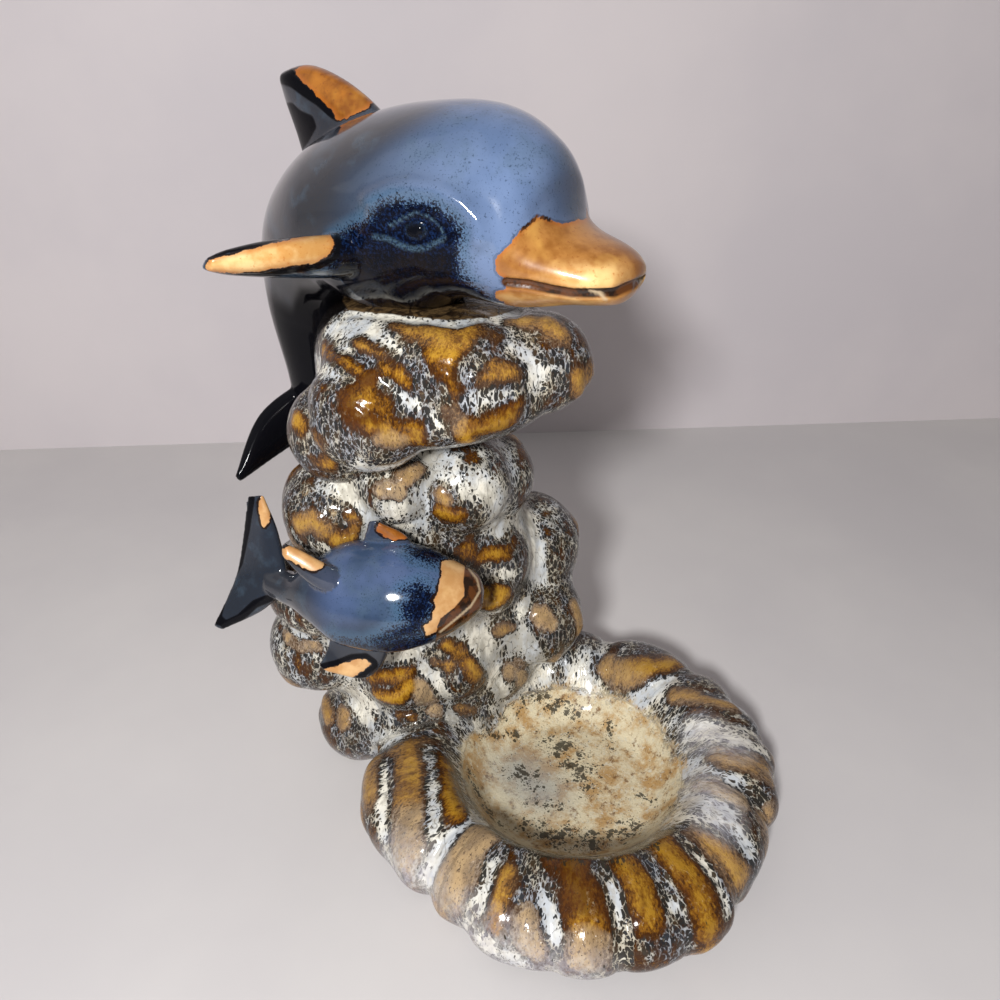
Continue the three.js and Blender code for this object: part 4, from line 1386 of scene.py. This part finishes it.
def bare_clay(p, place, orange):
    """Clay showing through at the ends: mottled, pale or warm, dull on the calf."""
    t = blue_tones
    warm = p.field("warm")
    mottle = p.cloud(place, (0.16, 4, 0.6), 0.36, 0.62)
    pale = p.mix(mottle, t.pale_clay, t.pale_mottle)
    return p.over(p.mix(warm, pale, p.mix(mottle, t.warm_clay, t.warm_mottle)), [
        (p.cloud(place, (0.11, 3), 0.55, 0.72, 0.0, 0.8), p.mix(warm, t.pale_cream, t.warm_cream)),
        (p.cloud(place, (1.3, 4, 0.7), 0.56, 0.72, 0.0, 0.8), p.mix(warm, t.pale_speck, t.warm_speck)),
        (p.steps(orange, 1.4, 0.0, 0.0, 0.55), t.clay_edge),
        (p.field("dull"), p.mix(mottle, t.dull_clay, t.dull_mottle)),
    ])


def blue_glaze():
    """Blue glaze with dark patches and speckle, orange ends and black edges."""
    p = Paint("blue_glaze")
    t = blue_tones
    place = p.place_mm()
    patch, orange, black = [p.field(name) for name in ("patch", "orange", "black")]
    dots = p.noise(place, 2.4, 3, 0.75)
    edge = p.plus(p.plus(patch, p.swing(dots, 13.0)), p.swing(p.noise(place, 0.5, 3, 0.6), 3.0))
    jagged = p.plus(orange, p.swing(p.noise(place, 0.45, 4, 0.65), 1.9))
    bare = p.steps(jagged, -0.12, 0.12)
    border = p.minus(p.steps(jagged, -0.7, -0.4), bare)
    mouth = p.mix(p.cloud(place, (0.35, 3), 0.42, 0.6), t.umber, t.dark_umber)
    colour = p.over(speckled_blue(p, place, patch, dots), [
        (p.steps(edge, -0.4, 0.8), dark_patch(p, place, patch)),
        # Pale lid lines, and the faint painted sheen ring round the pupil.
        (p.times(p.field("pale"), p.steps(dots, 0.4, 0.58, 0.15, 1.1)), t.lid),
        (p.field("pupil"), t.pupil),
        (p.times(border, p.field("rim")), t.rim),
        (p.steps(black, 0.3, 0.7), t.black),
        (bare, bare_clay(p, place, orange)),
        (p.steps(p.field("slit"), 0.05, 0.5), mouth),
        (p.times(p.field("glint"), 0.8), t.glint),
    ])
    p.shade(colour, "Base Color")
    p.gloss(p.steps(bare, 0.0, 1.0, 0.1, 0.32), 0.0)
    dull = p.most(patch, p.swing(black, 6.0))
    p.shade(p.steps(dull, -1.0, 2.0, 0.3, 0.06), "Specular IOR Level")
    p.shade(p.steps(dull, -1.0, 2.0, 0.5, 0.1), "Coat Weight")
    p.bump(p.noise(place, 0.35, 3), 0.12, 0.3)
    return p.material


# Paint

# Outlines and lines are in pixels of the photograph, which shows about so many to the millimetre
pixels_per_mm = 4.2
boulder_paint = {
    "soot": [
        (290, 280), (322, 290), (340, 298), (346, 308), (332, 316), (322, 328), (314, 345), (306, 364),
        (290, 350),
    ],
    "ledge": [
        (318, 290), (335, 306), (350, 311), (411, 317), (453, 321), (495, 317), (522, 308), (600, 306),
        (620, 250), (300, 250),
    ],
}
dolphin_paint = {
    "beak": [
        (529, 224), (536, 218), (542, 217), (550, 220), (563, 224), (581, 220), (594, 223), (638, 200),
        (682, 257), (671, 318), (572, 327), (506, 304), (495, 298), (494, 292), (505, 289), (507, 283),
        (504, 277), (496, 273), (495, 266), (496, 258), (504, 250), (513, 241), (521, 230),
    ],
    "patch": [
        (367, 217), (381, 202), (396, 198), (418, 200), (436, 203), (453, 215), (462, 228), (464, 237),
        (460, 252), (464, 274), (484, 301), (497, 327), (418, 336), (330, 327), (323, 292), (330, 248),
        (334, 235), (352, 224),
    ],
    "dorsal": [
        (293, 70), (309, 63), (323, 63), (340, 70), (357, 81), (376, 98), (367, 109), (355, 115),
        (346, 121), (337, 121), (333, 112), (323, 102), (311, 89), (302, 81), (296, 75),
    ],
    "dorsal_band": [
        (273, 79), (292, 68), (305, 85), (317, 93), (330, 106), (337, 123), (328, 116), (317, 106),
        (302, 96), (290, 87), (281, 85),
    ],
    "dorsal_back": [
        (284, 102), (292, 102), (300, 110), (313, 116), (317, 127), (309, 142), (296, 160), (288, 160),
    ],
    "flipper": [
        (202, 264), (213, 259), (242, 252), (284, 241), (317, 231), (330, 230), (334, 244), (332, 254),
        (317, 262), (284, 267), (259, 272), (231, 273), (206, 272),
    ],
    "stock": [(300, 288), (350, 285), (352, 330), (320, 362), (300, 396), (280, 380), (284, 330)],
    "grey": [
        (255, 270), (262, 215), (290, 150), (340, 118), (420, 96), (440, 110), (400, 140), (350, 175),
        (330, 230), (300, 320),
    ],
}
calf_paint = {
    "band": [
        (442, 561), (455, 559), (466, 567), (464, 582), (466, 595), (455, 608), (441, 619), (437, 632),
        (427, 635), (423, 628), (432, 619), (435, 606), (433, 601), (438, 590), (441, 575),
    ],
    "snout": [
        (466, 563), (486, 575), (490, 597), (475, 619), (437, 642), (437, 632), (441, 619), (455, 608),
        (466, 595), (464, 582),
    ],
    "patch": [
        (404, 592), (420, 584), (434, 595), (433, 608), (425, 619), (419, 632), (397, 638), (374, 646),
        (371, 642), (393, 632), (408, 623), (403, 606), (413, 597),
    ],
    "brow": [(408, 548), (425, 544), (446, 553), (444, 561), (432, 562), (415, 556)],
    "belly": [
        (326, 640), (352, 644), (374, 646), (397, 637), (427, 634), (437, 640), (397, 664), (369, 664),
        (367, 654), (352, 649),
    ],
    "dorsal": [
        (281, 549), (288, 546), (303, 547), (322, 552), (326, 556), (324, 567), (315, 571), (303, 568),
        (290, 560), (283, 556),
    ],
    "fluke": [
        (259, 500), (264, 494), (273, 500), (272, 509), (268, 524), (264, 527), (261, 520), (259, 511),
    ],
    "lower": [
        (321, 675), (324, 669), (337, 666), (352, 660), (365, 659), (372, 664), (357, 675), (341, 683),
        (324, 683),
    ],
    "upper": [(376, 530), (379, 519), (396, 519), (408, 538), (393, 542), (383, 536)],
}
mouth_slit = [(506, 283), (528, 285), (550, 290), (572, 294), (594, 294), (616, 293), (642, 281)]
mouth_half = 3.2
beak_rim = [(520, 231), (530, 223), (537, 217), (546, 218), (551, 221)]
mouth_glint = [(590, 294), (600, 296), (606, 300)]
upper_lid = [(389, 226), (403, 218), (415, 213), (425, 215), (436, 223), (444, 235), (444, 240)]
lower_lid = [(374, 237), (387, 239), (400, 246), (414, 250), (427, 248), (441, 240)]
brow_line = [(372, 200), (392, 190), (412, 186), (438, 190), (462, 204), (477, 220), (481, 238)]
eye_pixel = (416, 231)
pupil_pixel = (414.5, 231)
pupil_reach = (9, 7.5)
eye_reach = (26, 15)
brow_reach = 11
snout_rim = [(469, 569), (477, 579), (480, 591), (471, 606), (456, 619), (440, 632)]
calf_fluke_edge = [(272, 597), (255, 604), (240, 618), (225, 625), (219, 619)]
calf_fluke_front = [(252, 497), (247, 530), (240, 563), (226, 590), (217, 622)]


# Fields

# The glazes read these, stored with the points of each piece. The skins of a dolphin are numbered in
# the order in which its function returns them: body 0, dorsal fin 1, two flippers 2 and 3, flukes 4.

rock_fields = (
    "ridge", "tan", "pool", "bulge", "dense", "milk", "veil", "basin", "pepper", "haze", "seam", "soot")
blue_fields = ("pale", "pupil", "dull", "sheen_and_shade", "slit", "glint", "rim", "warm")

# Relief of the glaze in millimetres: height of a ridge, and how far the rest sinks
relief = 0.7
glaze_sink = 0.1

# Relief of the large dolphin's face in millimetres
shown_brow_lift = 1.3
hidden_brow_lift = 0.3
socket_depth = 0.7
lid_lift = 0.6
pupil_lift = 0.7
mouth_depth = 0.9

# How far the coordinates of the rock's glaze are squeezed down its run, and half widths of hidden strokes
flow_squeeze = 0.45
ridge_halves = (1.2, 2.4)
pool_halves = (1, 2)


# Pieces

def show(item, material, slot, *nodes):
    item.data.materials.clear()
    item.data.materials.append(material)
    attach(item, "root")
    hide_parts(*nodes)


def bulge_of(mesh, points, normals, passes):
    """How far a surface stands out over its surroundings, from -1 in a crease to 1 on a knob."""
    full = 0.5
    even = spread(points, edges_of(mesh), passes, 0.5, 0)
    return np.clip(((points - even) * normals).sum(axis=1) / full, -1, 1)


def rock_flow(points):
    """Coordinates in millimetres that are squeezed along the way the glaze ran, which is down."""
    return points * np.array([1, 1, flow_squeeze])


def store_fields(mesh, names, fields):
    """Stores the named fields at the points of a mesh, 0 where one isn't given."""
    for name in names:
        store(mesh, name, fields.get(name, np.zeros(len(mesh.vertices))))


def make_rock(glaze):
    item = fuse("rock_and_dish", [column_skin(), dish_skin()], rock_voxel, passes=8)
    mesh = item.data
    points, normals = points_of(mesh), normals_of(mesh)
    height = points[:, 2]
    depth, _ = column_depth(points)
    away = points[:, :2] - dish_centre
    radius, angle = np.hypot(*away.T), np.arctan2(away[:, 1], away[:, 0])
    on_dish = smooth_step(1.5, -2.5, depth) * (height < ring_height + 3)
    bowl = smooth_step(ring_radius - 5, ring_radius - 12, radius)
    basin = on_dish * bowl * smooth_step(-0.2, 0.3, normals[:, 2])
    under = (height < 0.6) | ((normals[:, 2] < -0.8) & (height < 4))
    bulge = bulge_of(mesh, points, normals, passes=50) * (1 - under)
    free = (height > 5) & (basin < 0.1)
    ridges = drawn_lines(item, dish_ridges, column_ridges)
    ridges += hidden_lines(points, normals, free & (bulge > 0.1), ridge_halves, wanted=60, apart=9)
    pools = drawn_lines(item, dish_pools, column_pools)
    pools += hidden_lines(points, normals, free & (bulge < 0), pool_halves, wanted=40, apart=10)
    ridge, tan = line_fields(points, ridges)
    pool, _ = line_fields(points, pools)
    dense, _ = line_fields(points, drawn_lines(item, dish_lace, column_lace))
    veil, _ = line_fields(points, drawn_lines(item, dish_veil))
    foot = on_dish * smooth_step(10, 2, height)
    rock = (1 - basin) * (1 - under)
    around = np.stack([angle * ring_radius, radius * flow_squeeze, height * flow_squeeze], axis=-1)
    flow = np.where((on_dish * (1 - basin))[:, None] > 0.5, around, rock_flow(points))
    pepper, haze = basin_fields(item, points)
    ridge, pool = ridge * rock, pool * rock
    store_fields(mesh, rock_fields, {
        "ridge": ridge, "tan": tan, "pool": pool, "bulge": bulge, "dense": dense * rock,
        # Milk marks the column's face: more white pools there, and the painted shade over its white.
        "milk": smooth_step(3, -1, np.abs(depth)) * smooth_step(4, 12, height),
        "veil": np.maximum(veil * 0.75, foot * 0.8) * rock,
        "basin": basin, "pepper": pepper, "haze": haze})
    store(mesh, "flow", np.where(basin[:, None] > 0.5, points, flow))
    filled = np.maximum(-bulge, 0) * 0.9
    lift = ((ridge - pool * 0.5) * relief - glaze_sink + filled) * (height > 1.5) * (1 - basin)
    set_points(mesh, points + normals * lift[:, None])
    show(item, glaze, "rock_glaze", "rock_base", "scallop_dish")


def make_boulder(glaze):
    item = fuse("boulder", [boulder_skin()], boulder_voxel, passes=6)
    mesh = item.data
    points, normals = points_of(mesh), normals_of(mesh)
    pixels = pixels_of(points)
    bulge = bulge_of(mesh, points, normals, passes=60)
    ridges = drawn_lines(item, boulder_ridges)
    ridges += hidden_lines(points, normals, bulge > 0, ridge_halves, wanted=22, apart=8)
    pools = drawn_lines(item, boulder_pools)
    pools += hidden_lines(points, normals, bulge < 0, pool_halves, wanted=16, apart=9)
    ridge, tan = line_fields(points, ridges)
    pool, _ = line_fields(points, pools)
    dense, _ = line_fields(points, drawn_lines(item, boulder_lace))
    ledge = smooth_step(-0.3, 0.8, painted(pixels, boulder_paint, ["ledge"]))
    top = ledge * smooth_step(0.3, 0.6, normals[:, 2])
    # Near-black on the boulder beside the dolphin's tail stock.
    soot = smooth_step(-0.8, 0.6, painted(pixels, boulder_paint, ["soot"]))
    store_fields(mesh, rock_fields, {
        "ridge": ridge * (1 - top), "tan": tan, "pool": pool, "bulge": bulge, "dense": dense,
        "seam": top * 0.85, "soot": soot})
    store(mesh, "flow", rock_flow(points))
    lift = ((ridge - pool * 0.7) * relief - glaze_sink) * (1 - top)
    set_points(mesh, points + normals * lift[:, None])
    show(item, glaze, "rock_glaze", "top_boulder")


def pixels_of(points):
    """Pixels of the photograph at which places appear."""
    right, up, view = camera_axes()
    away = points - camera_place
    aside = np.stack([away @ right, -(away @ up)], axis=-1) / (away @ view)[:, None]
    return photo_pixels / 2 + focal_pixels * aside


def painted(pixels, outlines, names):
    """Distance in millimetres inside the nearest of the named outlines, negative outside them."""
    return np.max([inside(pixels, outlines[name]) for name in names], axis=0) / pixels_per_mm


def to_line(pixels, line):
    """Distance of pixels to a drawn line."""
    return distance_to_line(pixels, np.array(line, float))


def near_line(pixels, line, half):
    """1 along a line of pixels, falling to 0 at twice its half width."""
    return 1 - smooth_step(0.5 * half, 2 * half, to_line(pixels, line))


def to_spot(pixels, spot, reach):
    """Distance of pixels to a spot, 1 at its reach aside and up."""
    return np.hypot(*((pixels - np.array(spot)) / reach).T)


def shades(low, high, share):
    """Colours between two tones."""
    low, high = np.array(low[:3]), np.array(high[:3])
    return low + (high - low) * share[:, None]


def store_paint(mesh, fields):
    """Stores fields evened out along the edges of a mesh."""
    soft = spread(np.stack(list(fields.values()), axis=-1), edges_of(mesh), 2, 0.5, 0)
    for name, column in zip(fields, soft.T):
        store(mesh, name, column)


def dolphin_points(skins, mesh):
    """What the paint of the large dolphin goes by at each point of its mesh.

    Both sides are painted alike: points of the left half take the paint of their mirror images.
    """
    found = carry(skins, mesh, ["share", "turn", "root_to_tip", "section"])
    points, normals = points_of(mesh), normals_of(mesh)
    owner = found["owner"]
    body = owner == 0
    share = np.where(body, found["share"], 1)
    left = points[:, 0] > boulder_xy[0]
    mirrored, facing = points.copy(), normals.copy()
    mirrored[:, 0] = np.minimum(points[:, 0], 2 * boulder_xy[0] - points[:, 0])
    facing[left, 0] *= -1
    direct = pixels_of(points)
    shown = (normals * unit(camera_place - points)).sum(axis=1)
    sure = smooth_step(0, 0.35, shown)[:, None]
    return SimpleNamespace(
        points=points, normals=normals, body=body, share=share, left=left, direct=direct, shown=shown,
        turn=np.where(body, found["turn"], 0),
        section=np.nan_to_num(found["section"]),
        along_fin=np.nan_to_num(found["root_to_tip"]),
        head=body & (share < 0.45),
        back_fin=owner == 1,
        flippers=(owner == 2) | (owner == 3),
        flukes=owner == 4,
        seen=(facing * unit(camera_place - mirrored)).sum(axis=1),
        pixels=pixels_of(mirrored) * (1 - sure) + direct * sure)


def dolphin_orange(d):
    """Distance inside the bare clay of the beak, the flippers and the dorsal fin."""
    hidden = np.minimum((0.13 - np.abs(d.section)) * 40, (d.along_fin - 0.3) * 30)
    flipper = np.where(d.seen > 0, painted(d.pixels, dolphin_paint, ["flipper"]), hidden)
    dorsal = np.where(d.shown > 0, painted(d.direct, dolphin_paint, ["dorsal"]), hidden)
    orange = np.where(d.head, painted(d.pixels, dolphin_paint, ["beak"]), -4.0)
    return np.where(d.back_fin, dorsal, np.where(d.flippers, flipper, orange))


def dolphin_patch(d):
    """Distance inside the dark patch round the eye and under the head."""
    drawn = painted(d.pixels, dolphin_paint, ["patch"])
    under = smooth_step(-0.1, -0.6, np.sin(d.turn)) * d.head * smooth_step(0.1, 0.2, d.share)
    patch = np.where(d.flippers, np.maximum(drawn, -1), np.where(d.head, drawn, -8))
    return np.maximum(patch, under * 16 - 12)


def dolphin_black(d, orange):
    """Black of the flukes and the stock, and of the edges of the fins."""
    band = painted(d.direct, dolphin_paint, ["dorsal_band", "dorsal_back"])
    stock = painted(d.direct, dolphin_paint, ["stock"])
    edge = smooth_step(-2.5, -1.2, orange) * smooth_step(-0.2, -0.6, orange)
    return np.max([
        d.flukes,
        d.back_fin * smooth_step(-0.4, 0.4, band),
        (d.flippers & (d.along_fin > 0.25)) * edge,
        d.body * smooth_step(0.62, 0.8, d.share),
        d.body * smooth_step(-4, 3, stock),
    ], axis=0)


def dolphin_grey(d):
    """Grey of the back and of the fins, 0 on the blue head."""
    drawn = painted(d.pixels, dolphin_paint, ["grey"])
    return np.max([
        d.body * smooth_step(0.3, 0.55, d.share),
        d.body * smooth_step(-4, 6, drawn),
        (d.back_fin | d.flippers) * 0.85,
    ], axis=0)


def dolphin_warm(d):
    """Warmth of the clay: rich on the fin, paler along the upper lip, pale on the flippers, and paler on the
    lower lip, partly cream clay and partly painted light where the lip lies in shade.
    """
    x, y = d.pixels.T
    cream = smooth_step(255, 276, y) * smooth_step(294, 288, y)
    cream = cream * smooth_step(530, 565, x) * smooth_step(640, 605, x)
    # Paler on the lower lip: partly cream clay, partly painted light where the lip lies in shade.
    beak = 0.85 - 0.7 * cream - 0.4 * smooth_step(291, 298, y)
    return np.where(d.back_fin, 1.0, np.where(d.body, beak, 0.05))


def make_dolphin(glaze):
    skins = dolphin_skins()
    item = fuse("dolphin", skins, dolphin_voxel, passes=10)
    mesh = item.data
    d = dolphin_points(skins, mesh)
    pixels = d.pixels
    eye_side = d.head & (d.seen > 0)
    lids = np.maximum(near_line(pixels, upper_lid, 0.85) * 0.6, near_line(pixels, lower_lid, 1.8) * 0.42)
    lids = lids * eye_side
    eye_level = to_spot(pixels, eye_pixel, eye_reach)
    pupil_level = to_spot(pixels, pupil_pixel, pupil_reach)
    socket = (1 - smooth_step(0.5, 1.7, eye_level)) * eye_side
    pupil = (1 - smooth_step(0.8, 1.1, pupil_level)) * eye_side
    # Painted sheen: a faint grey-blue ring round the pupil, laid in the pale colour of the lids.
    pupil_sheen_ring = np.exp(-((pupil_level - 1.05) / 0.16) ** 2) * eye_side
    brow = np.exp(-(to_line(pixels, brow_line) / brow_reach) ** 2) * d.head
    mouth = near_line(pixels, mouth_slit, mouth_half) * d.head
    orange = dolphin_orange(d)
    store_paint(mesh, {
        "orange": orange, "patch": dolphin_patch(d), "black": dolphin_black(d, orange),
        "grey": dolphin_grey(d)})
    store_fields(mesh, blue_fields, {
        "pale": np.maximum(lids, pupil_sheen_ring * 0.15),
        "pupil": pupil,
        # Painted brown sheen and shade: the patch turns umber black low on the head.
        "sheen_and_shade": smooth_step(244, 260, pixels[:, 1]),
        "slit": np.maximum(mouth, near_line(pixels, beak_rim, 0.9) * 0.85 * d.head),
        "glint": near_line(pixels, mouth_glint, 1.2) * d.head,
        "rim": np.where(d.head, 0.35, 1),
        "warm": dolphin_warm(d)})
    bright = smooth_step(300, 520, pixels[:, 0]) * smooth_step(605, 525, pixels[:, 0])
    store(mesh, "hue", shades(tone(44, 52, 66), tone(102, 121, 155), bright))
    store(mesh, "hue_two", shades(tone(38, 47, 60), tone(88, 107, 140), bright))
    brow_lift = np.where(d.left, hidden_brow_lift, shown_brow_lift)
    lift = brow * brow_lift - socket * socket_depth + lids * lid_lift + pupil * pupil_lift
    lift = lift - mouth * mouth_depth
    set_points(mesh, d.points + d.normals * lift[:, None])
    show(item, glaze, "blue_glaze", "dolphin_body", "dolphin_dorsal_fin", "dolphin_right_flipper",
         "dolphin_left_flipper", "dolphin_flukes")


def make_calf(glaze):
    skins = calf_skins()
    item = fuse("calf", skins, calf_voxel, passes=8)
    mesh = item.data
    owner = carry(skins, mesh, [])["owner"]
    body, upper, lower, flukes = [owner == part for part in (0, 2, 3, 4)]
    pixels = pixels_of(points_of(mesh))
    orange = np.full(len(owner), -4.0)
    for part, name in enumerate(("band", "dorsal", "upper", "lower", "fluke")):
        orange = np.where(owner == part, painted(pixels, calf_paint, [name]), orange)
    patch = np.where(body, painted(pixels, calf_paint, ["patch", "belly", "brow"]) + 0.8, -8)
    edge = np.maximum(near_line(pixels, calf_fluke_edge, 3.5), near_line(pixels, calf_fluke_front, 2.5))
    lower_edge = smooth_step(-2.2, -0.8, orange) * smooth_step(0.2, -0.4, orange)
    black = np.maximum(edge * flukes, lower * lower_edge)
    store_paint(mesh, {"orange": orange, "patch": patch, "black": black})
    rear = smooth_step(330, 285, pixels[:, 0])
    snout = smooth_step(-0.4, 0.3, painted(pixels, calf_paint, ["snout"]))
    store_fields(mesh, blue_fields, {
        "slit": snout * body,
        "glint": near_line(pixels, snout_rim, 0.8) * body,
        "rim": np.ones(len(owner)),
        "warm": np.where(upper, 1.0, 0.5),
        "dull": np.where(upper, 0, 0.75)})
    store(mesh, "grey", np.where(flukes, 0.35, np.where(body, rear * 0.7, 0.6)))
    bright = smooth_step(285, 350, pixels[:, 0]) * smooth_step(655, 600, pixels[:, 1])
    store(mesh, "hue", shades(tone(26, 36, 50), tone(72, 88, 122), bright))
    store(mesh, "hue_two", shades(tone(20, 30, 42), tone(50, 67, 92), bright))
    show(item, glaze, "blue_glaze", "calf_body", "calf_dorsal_fin", "calf_upper_flipper",
         "calf_lower_flipper", "calf_flukes")


# Stage

# Measures in metres
floor_reach = 3.0
wall_height = 1.2
wall_overlap = 0.8
centre_height = 0.09
key_left = 0.085
key_back = 0.25
fill_left = 0.6
fill_rise = 0.7


def plain(name, colour, shade, roughness):
    """Painted surface with a faint cloud of a second shade."""
    p = Paint(name)
    p.shade(p.mix(p.cloud(p.place(), (7, 5), 0.3, 0.7), colour, shade), "Base Color")
    p.shade(roughness, "Roughness")
    return p


def clear_from_behind(p):
    """Lets a view from behind the sheet pass through it."""
    both = p.node("ShaderNodeMixShader")
    p.link(p.node("ShaderNodeNewGeometry").outputs["Backfacing"], both.inputs[0])
    p.link(p.shader.outputs[0], both.inputs[1])
    p.link(p.node("ShaderNodeBsdfTransparent").outputs[0], both.inputs[2])
    p.link(both.outputs[0], p.tree.nodes["Material Output"].inputs[0])


def sheet(name, corners, material):
    mesh = bpy.data.meshes.new(name)
    mesh.from_pydata(corners, [], [list(range(len(corners)))])
    mesh.materials.append(material)
    item = add_object(name, mesh)


def on_floor(pixel):
    """Place on the floor, in metres, that the photograph shows at a pixel."""
    ray = sight(pixel)
    spot = camera_place + ray * camera_place[2] / -ray[2] + plan
    return np.array([spot[0], spot[1], 0]) * MM


def make_stage():
    floor = plain("floor", tone(209, 205, 203), tone(199, 195, 195), 0.6)
    square = [(-1, -1), (1, -1), (1, 1), (-1, 1)]
    sheet("floor", [(x * floor_reach, y * floor_reach, 0) for x, y in square], floor.material)
    wall = plain("wall", tone(210, 202, 203), tone(200, 193, 196), 0.7)
    clear_from_behind(wall)
    left, right = on_floor(wall_foot_left), on_floor(wall_foot_right)
    along = unit(right - left) * wall_overlap
    rise = np.array([0, 0, wall_height])
    foot = [left - along, right + along]
    sheet("wall", [tuple(corner) for corner in (*foot, foot[1] + rise, foot[0] + rise)], wall.material)


def lamp(name, place, size, power):
    """Round lamp that shines at the figurine's middle, and that views from other sides don't show."""
    light = bpy.data.lights.new(name, "AREA")
    light.shape = "DISK"
    light.size = size
    light.energy = power
    item = add_object(name, light)
    item.location = place
    item.visible_camera = False
    aim = Vector((0, 0, centre_height)) - Vector(place)
    item.rotation_euler = aim.to_track_quat("-Z", "Y").to_euler()


def make_light():
    world = bpy.data.worlds.new("studio")
    world.use_nodes = True
    background = world.node_tree.nodes["Background"]
    background.inputs["Color"].default_value = tone(214, 212, 212)
    background.inputs["Strength"].default_value = 0.25
    bpy.context.scene.world = world
    right, _, view = camera_axes()
    eye = (camera_place + plan) * MM
    lamp("key", eye - right * key_left - view * key_back, size=0.06, power=2.8)
    lamp("fill", eye - right * fill_left + np.array([0, 0, fill_rise]), size=1.6, power=1.8)


rock = rock_glaze()
blue = blue_glaze()
make_camera()
make_rock(rock)
make_boulder(rock)
make_dolphin(blue)
make_calf(blue)
make_stage()
make_light()
bpy.context.scene.view_settings.view_transform = "Standard"
